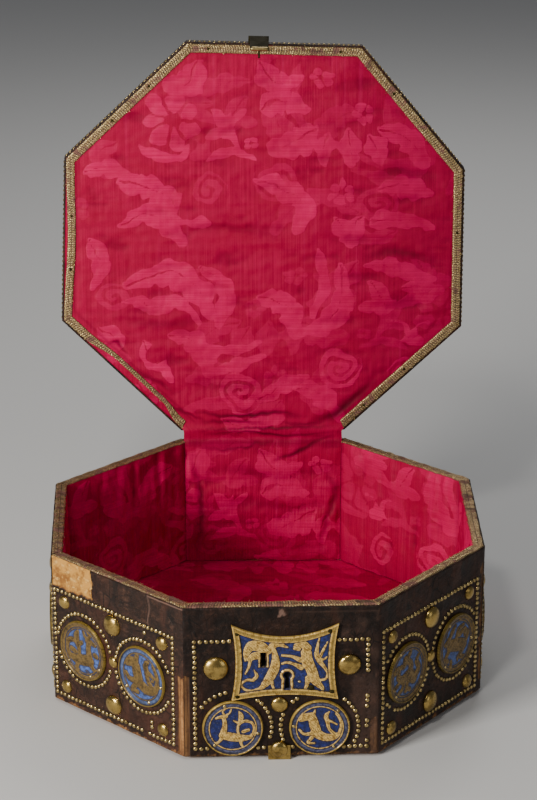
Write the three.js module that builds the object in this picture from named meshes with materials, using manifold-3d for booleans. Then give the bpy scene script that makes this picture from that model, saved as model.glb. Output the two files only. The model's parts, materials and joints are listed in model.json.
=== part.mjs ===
// An eight-sided wooden casket covered with dark leather and lined with silk.
// Its hinged lid stands open.
// Millimetres, +Z up, with the origin at the middle of the underside.
// The lock is at -Y and the hinges are at +Y.
// Each side has its own frame: X along it, Y up from the wall's lower edge and Z out from
// the leather's face.
import * as THREE from "three";
import { mergeVertices } from "three/addons/utils/BufferGeometryUtils.js";
import Module from "manifold-3d";

const wasm = await Module();
wasm.setup();

// Plan and walls
const nominalSide = 150; // side of the true octagon that the maker aimed at
const cornerShift = [
  [4.6, -3.3],
  [11.1, 0.9],
  [-1.4, 6.9],
  [-0.9, 5.3],
  [-1.9, 0],
  [-4.3, 0],
  [-6.7, -1.5],
  [-0.5, -4.8],
]; // how far each corner is off the true octagon, from the front's left corner round to the right
const gap = 0.3; // air between pieces that touch
const wallHeight = 131.6;
const wallLift = 3.5; // the bottom board stands this far below the walls
const leatherThick = 1.2;
const wallThick = 7.2;
const liningThick = 0.8;
const halfJoint = 0.17; // each mitred end is held back this far along its side
const bottomThick = 14.5;
const floorLiningThick = 1.2;
const floorLiningEdge = 0.3; // between the floor's silk and the walls' silk

// Braid on the rim and on the lid
const braidThick = 1.4;
const rimBraidOuter = 1;
const rimBraidWidth = 9;
const lidBraidWidth = 8;

// Lid
const lidInset = 1.4; // the lid's edge stands inside the walls' face
const lidBoardThick = 7;
const lidRest = 0.5; // between the lid's braid and the rim's braid when shut
const lidLeatherTurn = 1; // the leather's edge stops this far above the braid's face
const openAngle = 92;
const hingeAxisOut = 3.2; // behind the rear wall's leather
const hingeAxisUp = 0.4; // above the rim

// Strap hinges
const hingeSpread = 45; // each hinge, from the middle of the rear side
const leafWidth = 22;
const leafThick = 1.4;
const caseLeafLength = 27;
const strapLength = 62;
const strapTipRadius = 9;
const barrelRadius = 2.4;
const pinRadius = 1.1;
const boreRadius = 1.5;
const knuckleLength = 7.4;
const strapNeckHalf = 5;
const leafBelowBarrel = 1; // the fixed leaf's notch stops this far below the turning knuckle
const webClear = 0.1; // the strap's web stands this far off the bore

// Frame of tacks on each side
const bandHeight = 27.5; // plain leather between the tacks and the rim
const frameFoot = 5.5;
const frameMargin = 7.5; // on the front
const sideMargin = 6;
const frameShift = [0, -2, 0, 0, 0, 0, 0, -4]; // each frame's middle, from its side's middle
const frameRaise = [0, 4, 0, 0, 0, 0, 0, 0]; // how far each upper row is above the usual
const tackRow = 3.2;
const tackHeight = 1;
const ringGap = 4; // between a medallion and the ring of tacks round it
const frontRingGap = 5.2;
const ringSegments = 10;
const rowClear = 0.5; // the tacks stop this far above the wall's lower edge

// Medallions and domed nails
const medallionRadius = 26.2;
const frontMedallionRadius = 24.6;
const medallionRim = 2.2;
const medallionThick = 1.5;
const medallionRimRaise = 0.8;
const medallionBetween = 16.1; // between the two medallions of a side
const medallionSegments = 16;
const domeShare = 0.46; // a domed nail's height as a share of its radius
const domeSink = 0.6; // how deep a domed nail's foot sits in the leather
const domeSegments = 8;
const bigNailRadius = 9;
const smallNailRadius = 6;
const middleNailRadius = 5.2;
const bigNailFromFrame = 13;
const cornerNailFromSide = 13.5;
const cornerNailFromFrame = 10.5;
const medallionRaise = 2; // a side's medallions, above the middle of its frame
const middleNailRaise = 3;

// Lock plate, hasp and foot clip, in the front side's own frame
const platePlace = [3, 84];
const plateWidth = 86;
const plateHeight = 67;
const plateDipTop = 11;
const plateDipFoot = 5;
const plateDipSide = 3.5;
const plateThick = 1.3;
const plateBorder = 5.5;
const plateBorderRaise = 0.7;
const plateMargin = 0.6; // the tacks stop this far from the plate
const frontMedallions = [
  [-39, 25.7],
  [31, 25.2],
];
const frontBigNails = [
  [-52.3, 79, 10.4],
  [54.4, 80.4, 9.5],
];
const frontMiddleNail = [-1.4, 45.8, 6.7];
const slotPlace = [-14.2, 86.5];
const slotWidth = 3.8;
const slotHeight = 13;
const keyholePlace = [4.8, 72.5];
const keyholeRadius = 1.9;
const keyholeLength = 12;
const keyholeFootWidth = 3.4;
const pocketDepth = 7.4; // how deep the slot and the keyhole go, from the leather's face
const haspWidth = 16;
const haspThick = 1.5;
const haspClear = 0.8; // between the hasp and the lock plate's border
const haspBelowSlot = 5.5;
const haspLipRadius = 1.6;
const haspBarrelRadius = 1.9;
const haspPinRadius = 0.95;
const haspBoreRadius = 1.35;
const haspKnuckle = 8;
const haspLeafWidth = 18;
const haspLeafThick = 1.2;
const haspArmHalf = 0.9;
const haspNeckThick = 1.1;
const haspPlateFromBarrel = 0.5;
const stapleThick = 1.8;
const stapleHeight = 7.5;
const stapleReach = 8.2;
const stapleEyeRadius = 1.6;
const clipPlace = -1.5;
const clipWidth = 18;
const clipThick = 1.2;
const clipRise = 9.5;
const clipTongue = 7;
const clipFloorGap = 0.3;
const clipNailUp = 6.2;
const clipNailRadius = 6.7;

// Lid's outside
const lidMedallionSpread = 62;
const lidBigNailSpread = 98;
const lidCornerNailInset = 26;

// Levels in a side's own frame
const rimTop = wallHeight + gap + braidThick;
const lidFace = rimTop + lidRest;
const lidLiningFoot = lidFace + braidThick + gap;
const lidBoardFoot = lidLiningFoot + liningThick + gap;
const lidBoardTop = lidBoardFoot + lidBoardThick;
const lidTop = lidBoardTop + gap + leatherThick;
const hingeAxisY = rimTop + hingeAxisUp;
const haspAxisY = (lidFace + lidTop) / 2;
const frameTop = wallHeight - bandHeight;

// Depths in from the leather's face
const wallOuter = leatherThick + gap;
const wallInner = wallOuter + wallThick;
const liningOuter = wallInner + gap;
const liningInner = liningOuter + liningThick;

// Depths out from the leather's face
const plateFace = gap + plateThick;
const haspInner = plateFace + plateBorderRaise + haspClear;
const haspAxisOut = haspInner + haspThick - haspBarrelRadius;

const leather = new THREE.MeshStandardMaterial({ color: 0x3b2519, roughness: 0.7 });
const wood = new THREE.MeshStandardMaterial({ color: 0xa9682f, roughness: 0.75 });
const silk = new THREE.MeshStandardMaterial({ color: 0xa81440, roughness: 0.4 });
const goldBraid = new THREE.MeshStandardMaterial({ color: 0xa58b50, roughness: 0.5, metalness: 0.6 });
const enamel = new THREE.MeshStandardMaterial({ color: 0x4763ab, roughness: 0.35, metalness: 0.3 });
const brass = new THREE.MeshStandardMaterial({ color: 0xa3823c, roughness: 0.35, metalness: 1 });

// Solids

function toSolid(geometry) {
  const bare = geometry.clone();
  bare.deleteAttribute("normal");
  bare.deleteAttribute("uv");
  const merged = mergeVertices(bare, 1e-4);
  const mesh = new wasm.Mesh({
    numProp: 3,
    vertProperties: merged.attributes.position.array,
    triVerts: new Uint32Array(merged.index.array),
  });
  return new wasm.Manifold(mesh);
}

function toGeometry(solid) {
  const mesh = solid.getMesh();
  const geometry = new THREE.BufferGeometry();
  geometry.setAttribute("position", new THREE.BufferAttribute(new Float32Array(mesh.vertProperties), 3));
  geometry.setIndex(new THREE.BufferAttribute(new Uint32Array(mesh.triVerts), 1));
  geometry.computeVertexNormals();
  return geometry;
}

function join(...geometries) {
  return toGeometry(geometries.map(toSolid).reduce((all, next) => all.add(next)));
}

function cut(base, ...tools) {
  return toGeometry(tools.map(toSolid).reduce((rest, tool) => rest.subtract(tool), toSolid(base)));
}

function keepInside(base, limit) {
  return toGeometry(toSolid(base).intersect(toSolid(limit)));
}

function extrude(shape, from, to) {
  const geometry = new THREE.ExtrudeGeometry(shape, {
    depth: to - from,
    bevelEnabled: false,
    curveSegments: 6,
  });
  return geometry.translate(0, 0, from);
}

function block(xs, ys, zs) {
  const [width, height, depth] = [xs, ys, zs].map(([low, high]) => high - low);
  const middle = [xs, ys, zs].map(([low, high]) => (low + high) / 2);
  return new THREE.BoxGeometry(width, height, depth).translate(...middle);
}

function rectangle([left, right], [foot, top]) {
  return new THREE.Shape([
    new THREE.Vector2(left, foot),
    new THREE.Vector2(right, foot),
    new THREE.Vector2(right, top),
    new THREE.Vector2(left, top),
  ]);
}

// A round piece about the Z axis, from its profile of [radius, height] points.
function turned(profile, segments) {
  const points = profile.map(([radius, height]) => new THREE.Vector2(radius, height));
  return new THREE.LatheGeometry(points, segments).rotateX(Math.PI / 2);
}

// A cylinder along X, flat across its sides where they face the neighbours.
function barrel(radius, [left, right], [y, z]) {
  const geometry = new THREE.CylinderGeometry(radius, radius, right - left, 12);
  return geometry.rotateZ(Math.PI / 2).translate((left + right) / 2, y, z);
}

function dome(x, y, radius, rows) {
  const height = radius * domeShare;
  const crown = [];
  for (let row = 0; row < rows; row += 1) {
    const angle = (row / rows) * (Math.PI / 2);
    crown.push([radius * Math.cos(angle), height * Math.sin(angle)]);
  }
  const profile = [[0, -domeSink], [radius, -domeSink], ...crown, [0, height]];
  return turned(profile, domeSegments).translate(x, y, 0);
}

const bigDome = (x, y, radius) => dome(x, y, radius, 3);
const smallDome = (x, y, radius) => dome(x, y, radius, 2);

// Plan of the casket

function trueCorner(i) {
  const radius = nominalSide / 2 / Math.sin(Math.PI / 8);
  const angle = (-5 / 8) * Math.PI + (i * Math.PI) / 4;
  return new THREE.Vector2(radius * Math.cos(angle), radius * Math.sin(angle));
}

const plan = cornerShift.map(([x, y], i) => trueCorner(i).add(new THREE.Vector2(x, y)));

function inwardNormal(from, to) {
  const along = to.clone().sub(from).normalize();
  return new THREE.Vector2(-along.y, along.x);
}

// The plan with each side moved in by the distance.
function inset(distance) {
  return plan.map((corner, i) => {
    const before = inwardNormal(plan.at(i - 1), corner);
    const after = inwardNormal(corner, plan[(i + 1) % plan.length]);
    const share = distance / (1 + before.dot(after));
    return corner.clone().addScaledVector(before, share).addScaledVector(after, share);
  });
}

function sideOf(i) {
  const from = plan[i];
  const to = plan[(i + 1) % plan.length];
  const along = to.clone().sub(from).normalize();
  const out = new THREE.Vector2(along.y, -along.x);
  const middle = from.clone().add(to).multiplyScalar(0.5);
  const matrix = new THREE.Matrix4().makeBasis(
    new THREE.Vector3(along.x, along.y, 0),
    new THREE.Vector3(0, 0, 1),
    new THREE.Vector3(out.x, out.y, 0),
  );
  matrix.setPosition(middle.x, middle.y, wallLift);
  const local = (point) => {
    const offset = point.clone().sub(middle);
    return new THREE.Vector2(offset.dot(along), offset.dot(out));
  };
  return { i, middle, width: from.distanceTo(to), matrix, local };
}

const sideNames = ["front", "front_right", "right", "back_right", "back", "back_left", "left", "front_left"];
const sides = sideNames.map((_, i) => sideOf(i));
const [front, back] = [sides[0], sides[4]];

// A plan shape in a side's frame, raised from one level to another.
// Its Y points in from the leather's face.
function raise(shape, foot, top) {
  return extrude(shape, foot, top).rotateX(-Math.PI / 2);
}

// A board, leather or silk along one side, mitred at both ends.
function slab(side, outerDepth, innerDepth, foot, top) {
  const outer = inset(outerDepth);
  const inner = inset(innerDepth);
  const next = (side.i + 1) % plan.length;
  const corners = [
    [outer[side.i], halfJoint],
    [outer[next], -halfJoint],
    [inner[next], -halfJoint],
    [inner[side.i], halfJoint],
  ];
  const outline = corners.map(([corner, back]) => {
    const { x, y } = side.local(corner);
    return new THREE.Vector2(x + back, -y);
  });
  return raise(new THREE.Shape(outline), foot, top);
}

// A flat eight-sided plate, or a ring where an inner depth is given, between two levels of the whole casket.
function octagon(outerDepth, foot, top, innerDepth) {
  const shape = new THREE.Shape(inset(outerDepth));
  if (innerDepth !== undefined) shape.holes.push(new THREE.Path(inset(innerDepth)));
  return extrude(shape, foot, top);
}

// Scene graph

const casket = new THREE.Group();
const hingeAxis = new THREE.Group();
hingeAxis.position.set(0, back.middle.y + hingeAxisOut, wallLift + hingeAxisY);
hingeAxis.rotation.x = -THREE.MathUtils.degToRad(openAngle);
const shutLid = new THREE.Group(); // the lid's pieces are placed in here as they lie when it is shut
shutLid.position.copy(hingeAxis.position).negate();
hingeAxis.add(shutLid);
casket.add(hingeAxis);

function sideGroup(side, parent) {
  const group = new THREE.Group();
  group.applyMatrix4(side.matrix);
  parent.add(group);
  return group;
}

const sideGroups = sides.map((side) => sideGroup(side, casket));
const lidFront = sideGroup(front, shutLid);
const lidBack = sideGroup(back, shutLid);

function add(parent, name, geometry, material) {
  const mesh = new THREE.Mesh(geometry, material);
  mesh.name = name;
  parent.add(mesh);
  return mesh;
}

// Lock plate: a square plate whose four sides curve in, with a raised border

function plateOutline(margin) {
  const [x, y] = platePlace;
  const halfWidth = plateWidth / 2 + margin;
  const halfHeight = plateHeight / 2 + margin;
  const [left, right, foot, top] = [x - halfWidth, x + halfWidth, y - halfHeight, y + halfHeight];
  const shape = new THREE.Shape();
  shape.moveTo(left, foot);
  shape.quadraticCurveTo(x, foot + 2 * plateDipFoot, right, foot);
  shape.quadraticCurveTo(right - 2 * plateDipSide, y, right, top);
  shape.quadraticCurveTo(x, top - 2 * plateDipTop, left, top);
  shape.quadraticCurveTo(left + 2 * plateDipSide, y, left, foot);
  return shape;
}

function slotCut(from, to) {
  const [x, y] = slotPlace;
  const width = [x - slotWidth / 2, x + slotWidth / 2];
  return block(width, [y - slotHeight / 2, y + slotHeight / 2], [from, to]);
}

function keyholeCut(from, to) {
  const [x, y] = keyholePlace;
  const foot = y - keyholeLength;
  const shape = new THREE.Shape();
  shape.moveTo(x - keyholeFootWidth / 2, foot);
  shape.lineTo(x + keyholeFootWidth / 2, foot);
  shape.absarc(x, y, keyholeRadius, -Math.PI / 3, (4 / 3) * Math.PI, false);
  return extrude(shape, from, to);
}

function lockPlate() {
  const plate = extrude(plateOutline(0), gap, plateFace);
  const border = plateOutline(0);
  border.holes.push(plateOutline(-plateBorder));
  const raised = extrude(border, gap, plateFace + plateBorderRaise);
  const reach = plateFace + plateBorderRaise;
  return cut(join(plate, raised), slotCut(0, reach), keyholeCut(0, reach));
}

// Leather of each side, with its domed nails and its rows of tacks

function frameOf(side) {
  const half = side.width / 2 - (side === front ? frameMargin : sideMargin);
  const shift = frameShift[side.i];
  const top = frameTop + frameRaise[side.i];
  return { half, shift, top, span: [shift - half, shift + half], middle: (top + frameFoot) / 2 };
}

function tackFrame(side) {
  const { span, top } = frameOf(side);
  const frame = rectangle(span, [frameFoot, top]);
  const opening = rectangle([span[0] + tackRow, span[1] - tackRow], [frameFoot + tackRow, top - tackRow]);
  frame.holes.push(opening);
  return extrude(frame, -domeSink, tackHeight);
}

function tackRing([x, y], inner) {
  const profile = [
    [inner, -domeSink],
    [inner + tackRow, -domeSink],
    [inner + tackRow, tackHeight],
    [inner, tackHeight],
    [inner, -domeSink],
  ];
  return turned(profile, ringSegments).translate(x, y, 0);
}

function sideMedallions(side) {
  const { shift, middle } = frameOf(side);
  const x = medallionRadius + medallionBetween / 2;
  return [
    [shift - x, middle + medallionRaise],
    [shift + x, middle + medallionRaise],
  ];
}

function sideNails(side) {
  const { half, shift, top, middle } = frameOf(side);
  const cornerX = half - cornerNailFromSide;
  const rows = [frameFoot + cornerNailFromFrame, top - cornerNailFromFrame];
  const ends = [shift - cornerX, shift + cornerX];
  const corners = rows.flatMap((y) => ends.map((x) => smallDome(x, y, smallNailRadius)));
  const column = [
    bigDome(shift, top - bigNailFromFrame, bigNailRadius),
    bigDome(shift, frameFoot + bigNailFromFrame, bigNailRadius),
    smallDome(shift, middle + middleNailRaise, middleNailRadius),
  ];
  return [...corners, ...column];
}

function frontNails() {
  const big = frontBigNails.map(([x, y, radius]) => bigDome(x, y, radius));
  return [...big, smallDome(...frontMiddleNail)];
}

function sideLeather(side) {
  const cover = slab(side, 0, leatherThick, 0, wallHeight);
  const isFront = side === front;
  const medallions = isFront ? frontMedallions : sideMedallions(side);
  const ringInner = isFront ? frontMedallionRadius + frontRingGap : medallionRadius + ringGap;
  const clear = plateFace + plateBorderRaise;
  const room = block(frameOf(side).span, [rowClear, wallHeight], [-leatherThick / 2, clear]);
  const rings = medallions.map((place) => tackRing(place, ringInner));
  let rows = keepInside(join(tackFrame(side), ...rings), room);
  if (isFront) {
    const clipHalf = clipWidth / 2 + gap;
    const clipSpan = [clipPlace - clipHalf, clipPlace + clipHalf];
    const clipTop = Math.max(clipRise, clipNailUp + clipNailRadius) + gap;
    const clip = block(clipSpan, [0, clipTop], [-leatherThick, clear]);
    const disc = turned(discProfile(ringInner, -leatherThick, clear), medallionSegments);
    const discs = medallions.map(([x, y]) => disc.clone().translate(x, y, 0));
    rows = cut(rows, extrude(plateOutline(plateMargin), -leatherThick, clear), clip, ...discs);
  }
  const nails = isFront ? frontNails() : sideNails(side);
  const whole = join(cover, rows, ...nails);
  return isFront ? cut(whole, slotCut(-pocketDepth, clear), keyholeCut(-pocketDepth, clear)) : whole;
}

function discProfile(radius, foot, top) {
  return [
    [0, foot],
    [radius, foot],
    [radius, top],
    [0, top],
  ];
}

function medallion(radius = medallionRadius) {
  const top = medallionThick + medallionRimRaise;
  const profile = [
    [0, 0],
    [radius, 0],
    [radius, top],
    [radius - medallionRim, top],
    [radius - 1.5 * medallionRim, medallionThick],
    [0, medallionThick],
  ];
  return turned(profile, medallionSegments);
}

// Walls, their leather and their medallions

sides.forEach((side, i) => {
  const name = sideNames[i];
  const group = sideGroups[i];
  const plain = slab(side, wallOuter, wallInner, 0, wallHeight);
  const board = side === front ? cut(plain, slotCut(-pocketDepth, 0), keyholeCut(-pocketDepth, 0)) : plain;
  add(group, `board_${name}`, board, wood);
  add(group, `leather_${name}`, sideLeather(side), leather);
  const places = side === front ? frontMedallions : sideMedallions(side);
  const radius = side === front ? frontMedallionRadius : medallionRadius;
  places.forEach(([x, y], k) => {
    add(group, `medallion_${name}_${k + 1}`, medallion(radius), enamel).position.set(x, y, gap);
  });
});

add(sideGroups[0], "lock_plate", lockPlate(), enamel);

// Bottom board, linings and the rim's braid

const rimLevel = wallLift + rimTop;
const floorFoot = bottomThick + gap;
const floorTop = floorFoot + floorLiningThick;
const wallTop = wallLift + wallHeight;
add(casket, "bottom_board", octagon(wallInner + gap, 0, bottomThick), wood);
add(casket, "lining_floor", octagon(liningInner + floorLiningEdge, floorFoot, floorTop), silk);
const backLining = slab(back, liningOuter, liningInner, floorFoot - wallLift, wallHeight);
add(sideGroups[4], "lining_back_wall", backLining, silk);

// The silk round the other seven walls is one strip.
function wallStrip() {
  const held = (depth) => {
    const ring = inset(depth);
    const order = ring.map((_, i) => ring[(back.i + 1 + i) % ring.length].clone());
    const away = (from, to) => to.clone().sub(from).setLength(halfJoint);
    const [first, second] = order;
    const [last, beforeLast] = [order.at(-1), order.at(-2)];
    const heldFirst = away(first, second);
    last.add(away(last, beforeLast));
    first.add(heldFirst);
    return order;
  };
  const outline = [...held(liningOuter), ...held(liningInner).reverse()];
  return extrude(new THREE.Shape(outline), floorFoot, wallTop);
}

add(casket, "lining_side_walls", wallStrip(), silk);
const rimRing = octagon(rimBraidOuter, rimLevel - braidThick, rimLevel, rimBraidOuter + rimBraidWidth);
add(casket, "braid_rim", rimRing, goldBraid);

// Foot clip: a brass strip under the front wall, with a domed nail

function footClip() {
  const width = [clipPlace - clipWidth / 2, clipPlace + clipWidth / 2];
  const foot = clipFloorGap - wallLift;
  const plate = block(width, [foot, clipRise], [gap, gap + clipThick]);
  const tongue = block(width, [-gap - clipThick, -gap], [-clipTongue, gap + clipThick]);
  const nail = smallDome(0, 0, clipNailRadius).translate(clipPlace, clipNailUp, gap + clipThick);
  return join(plate, tongue, nail);
}

add(sideGroups[0], "foot_clip", footClip(), brass);

// Lid

const lidLevel = (y) => wallLift + y;
const lidBoardEdge = lidInset + leatherThick + gap;
const lidBoard = octagon(lidBoardEdge, lidLevel(lidBoardFoot), lidLevel(lidBoardTop));
add(shutLid, "lid_board", lidBoard, wood);
const lidLiningTop = lidLevel(lidLiningFoot + liningThick);
add(shutLid, "lid_lining", octagon(lidBoardEdge, lidLevel(lidLiningFoot), lidLiningTop), silk);
const lidBraidTop = lidLevel(lidFace + braidThick);
const lidBraidInner = lidBoardEdge + lidBraidWidth;
const lidBraid = octagon(lidBoardEdge, lidLevel(lidFace), lidBraidTop, lidBraidInner);
add(shutLid, "lid_braid", lidBraid, goldBraid);

function lidLeather() {
  const cover = octagon(lidInset, lidLevel(lidFace + lidLeatherTurn), lidLevel(lidTop));
  const inside = octagon(lidInset + leatherThick, lidLevel(lidFace), lidLevel(lidTop - leatherThick));
  const top = lidLevel(lidTop);
  const spread = lidBigNailSpread;
  const big = [
    [spread, 0],
    [0, spread],
    [-spread, 0],
    [0, -spread],
  ].map(([x, y]) => bigDome(x, y, bigNailRadius).translate(0, 0, top));
  const corners = inset(lidCornerNailInset).map(({ x, y }) =>
    smallDome(x, y, smallNailRadius).translate(0, 0, top),
  );
  return join(cut(cover, inside), ...big, ...corners);
}

add(shutLid, "lid_leather", lidLeather(), leather);

const lidPlaces = { centre: [0, 0] };
[-1, 1].forEach((y) =>
  [-1, 1].forEach((x) => {
    const name = `${y < 0 ? "front" : "back"}_${x < 0 ? "left" : "right"}`;
    lidPlaces[name] = [x * lidMedallionSpread, y * lidMedallionSpread];
  }),
);
Object.entries(lidPlaces).forEach(([name, [x, y]]) => {
  add(shutLid, `lid_medallion_${name}`, medallion(), enamel).position.set(x, y, lidLevel(lidTop + gap));
});

// Strap hinges: each has a leaf on the rear wall, which holds the pin, and a strap over the lid's edge

const leafHalf = leafWidth / 2;
const knuckleHalf = knuckleLength / 2;
const hingePlace = [hingeAxisY, hingeAxisOut];

function caseLeaf() {
  const notch = knuckleHalf + gap;
  const axisFoot = hingeAxisY - caseLeafLength;
  const plateTop = hingeAxisY - barrelRadius - leafBelowBarrel;
  const plate = block([-leafHalf, leafHalf], [axisFoot, plateTop], [gap, gap + leafThick]);
  const ends = [
    [-leafHalf, -notch],
    [notch, leafHalf],
  ];
  const arms = ends.map((end) => block(end, [axisFoot, hingeAxisY], [gap, gap + leafThick]));
  const knuckles = ends.map((end) => barrel(barrelRadius, end, hingePlace));
  const pin = barrel(pinRadius, [-leafHalf, leafHalf], hingePlace);
  return join(plate, ...arms, ...knuckles, pin);
}

function strapOutline() {
  const outer = lidInset - gap - leafThick;
  const end = lidInset + strapLength;
  const shape = new THREE.Shape();
  shape.moveTo(-leafHalf, outer);
  shape.lineTo(leafHalf, outer);
  const neckAngle = Math.acos(strapNeckHalf / strapTipRadius);
  shape.absarc(0, end, strapTipRadius, -neckAngle, Math.PI + neckAngle, false);
  return shape;
}

function lidStrap() {
  const webFoot = hingeAxisY + boreRadius + webClear;
  const webTop = webFoot + leafThick;
  const riserIn = gap - lidInset;
  const strapFoot = lidTop + gap;
  const riserSpan = [webFoot, strapFoot + leafThick];
  const riser = block([-leafHalf, leafHalf], riserSpan, [riserIn, riserIn + leafThick]);
  const web = block([-knuckleHalf, knuckleHalf], [webFoot, webTop], [riserIn, hingeAxisOut]);
  const knuckle = barrel(barrelRadius, [-knuckleHalf, knuckleHalf], hingePlace);
  const bore = barrel(boreRadius, [-leafHalf, leafHalf], hingePlace);
  const strap = raise(strapOutline(), strapFoot, strapFoot + leafThick);
  return cut(join(riser, web, knuckle, strap), bore);
}

[
  ["left", hingeSpread],
  ["right", -hingeSpread],
].forEach(([name, x]) => {
  add(sideGroups[4], `hinge_${name}_case_leaf`, caseLeaf(), brass).position.x = x;
  add(lidBack, `hinge_${name}_lid_strap`, lidStrap(), brass).position.x = x;
});

// Hasp: a plate hinged to the lid's front edge, with a staple that enters the lock plate's slot

const [haspX, slotY] = slotPlace;
const haspPlace = [haspAxisY, haspAxisOut];
const haspKnuckleHalf = haspKnuckle / 2;

function haspLeaf() {
  const leafIn = gap - lidInset;
  const leafOut = leafIn + haspLeafThick;
  const half = haspLeafWidth / 2;
  const notch = haspKnuckleHalf + gap;
  const margin = lidLeatherTurn + gap;
  const plate = block([-half, half], [lidFace + margin, lidTop - gap], [leafIn, leafOut]);
  const ends = [
    [-half, -notch],
    [notch, half],
  ];
  const armSpan = [haspAxisY - haspArmHalf, haspAxisY + haspArmHalf];
  const arms = ends.map((end) => block(end, armSpan, [leafIn, haspAxisOut]));
  const knuckles = ends.map((end) => barrel(haspBarrelRadius, end, haspPlace));
  const pin = barrel(haspPinRadius, [-half, half], haspPlace);
  return join(plate, ...arms, ...knuckles, pin);
}

function staple() {
  const half = stapleHeight / 2;
  const tip = haspInner - stapleReach + half;
  const shape = new THREE.Shape();
  shape.moveTo(haspInner + haspThick / 2, slotY - half);
  shape.lineTo(haspInner + haspThick / 2, slotY + half);
  shape.lineTo(tip, slotY + half);
  shape.absarc(tip, slotY, half, Math.PI / 2, 1.5 * Math.PI, false);
  const eye = new THREE.Path();
  eye.absarc(tip, slotY, stapleEyeRadius, 0, 2 * Math.PI, false);
  shape.holes.push(eye);
  return extrude(shape, -stapleThick / 2, stapleThick / 2).rotateY(-Math.PI / 2);
}

function hasp() {
  const half = haspWidth / 2;
  const top = haspAxisY - haspBarrelRadius - haspPlateFromBarrel;
  const foot = slotY - stapleHeight / 2 - haspBelowSlot;
  const face = haspInner + haspThick;
  const plate = block([-half, half], [foot, top], [haspInner, face]);
  const neckSpan = [top - haspThick, haspAxisY];
  const neck = block([-haspKnuckleHalf, haspKnuckleHalf], neckSpan, [face - haspNeckThick, face]);
  const knuckle = barrel(haspBarrelRadius, [-haspKnuckleHalf, haspKnuckleHalf], haspPlace);
  const bore = barrel(haspBoreRadius, [-half, half], haspPlace);
  const lip = barrel(haspLipRadius, [-half, half], [foot, face]);
  return join(cut(join(knuckle, neck), bore), plate, lip, staple());
}

add(lidFront, "hasp_leaf", haspLeaf(), brass).position.x = haspX;
add(lidFront, "hasp", hasp(), brass).position.x = haspX;

export default casket;
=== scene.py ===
"""Looks of an eight-sided casket covered with dark leather and lined with crimson silk.

Lengths are millimetres. A side's own frame has X along it, Y up from the wall's lower edge and
Z out from the leather's face. A mesh turns them into metres in the row frame.
"""

import json
import math
from functools import partial

import bpy
import numpy as np
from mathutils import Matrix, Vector


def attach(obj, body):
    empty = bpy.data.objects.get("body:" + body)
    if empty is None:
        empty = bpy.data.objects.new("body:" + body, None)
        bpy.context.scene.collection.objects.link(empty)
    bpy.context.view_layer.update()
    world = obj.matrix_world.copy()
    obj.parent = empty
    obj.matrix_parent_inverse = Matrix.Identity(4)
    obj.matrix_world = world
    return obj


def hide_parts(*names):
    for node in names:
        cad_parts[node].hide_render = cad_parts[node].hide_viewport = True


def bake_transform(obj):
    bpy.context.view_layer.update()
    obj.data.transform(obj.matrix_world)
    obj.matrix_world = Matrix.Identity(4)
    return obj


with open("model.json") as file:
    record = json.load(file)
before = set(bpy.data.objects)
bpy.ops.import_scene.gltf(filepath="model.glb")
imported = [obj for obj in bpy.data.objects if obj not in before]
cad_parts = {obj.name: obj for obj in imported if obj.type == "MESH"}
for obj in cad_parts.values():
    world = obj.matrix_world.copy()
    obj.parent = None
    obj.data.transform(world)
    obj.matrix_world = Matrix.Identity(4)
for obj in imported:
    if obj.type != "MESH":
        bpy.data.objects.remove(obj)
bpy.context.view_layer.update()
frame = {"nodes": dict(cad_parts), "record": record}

MM = 0.001
TAU = 2 * math.pi

# Plan and levels of the casket
nominal_side = 150
corner_shift = [
    (4.6, -3.3), (11.1, 0.9), (-1.4, 6.9), (-0.9, 5.3), (-1.9, 0), (-4.3, 0), (-6.7, -1.5), (-0.5, -4.8),
]
side_names = ["front", "front_right", "right", "back_right", "back", "back_left", "left", "front_left"]
BACK = 4
near_sides = (0, 1, 7)  # the sides that the camera sees
wall_lift = 3.5
wall_height = 131.6
leather_thick = 1.2
lining_depth = 9.8  # from the leather's face to the silk's face
floor_level = 16.0
rim_braid = (1, 10)
rim_top = 133.3
open_angle = 92
hinge_axis_out = 3.2
hinge_axis_up = 133.7
lid_edge = 1.4
lid_board_edge = 2.9
lid_braid_width = 8
lid_face = 133.8
lid_lining_face = 135.5
lid_top = 145.1

# Brass tacks and domed nails
tack_radius = 1.95
tack_height = 1.15
tack_pitch = 4.6
frame_foot = 5.5
frame_top = 104.1
frame_margin = 7.5
side_margin = 6
frame_shift = [0, -2, 0, 0, 0, 0, 0, -4]
frame_raise = [0, 4, 0, 0, 0, 0, 0, 0]
tack_row = 3.2
ring_radius = 31.8
front_ring_radius = 31.4
big_dome = (40, 9, 0.5)  # segments, rows, and height as a share of the radius
corner_nail = (13.5, 10.5, 6)  # in from the frame's side and from its end, and radius
column_nail = (13, 9)
middle_nail_radius = 5.2
medallion_aside = 34.25
medallion_raise = 2
middle_nail_raise = 3
spurs = {7: [((33, 101), (33, 89)), ((40, 23), (40, 10))]}  # short rows between a frame and a ring
front_medallions = [(-39, 25.7), (31, 25.2)]
front_nails = [(-52.3, 79, 10.4), (54.4, 80.4, 9.5), (-1.4, 45.8, 6.7)]
front_gaps = [(54.5, 71), (30.5, 42.5), (15.8, 23.6)]  # where the front's right column has lost its tacks
medallion_radius = 26.2
front_medallion_radius = 24.6
medallion_foot = 0.3

# Lock plate
plate_middle = (3, 84)
plate_half = (43, 33.5)
plate_dip_top = 11
plate_dip_foot = 5
plate_dip_side = 3.5
plate_face = 1.6
plate_border = 5.2
slot_place = (-14.2, 86.5)
slot_half = (2.5, 6.5)
slot_depth = 6.9
keyhole_place = (4.8, 72.5)
keyhole_radius = 2.85
keyhole_foot = 60.4
clip_place = -1.5
clip_half = 9
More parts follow.
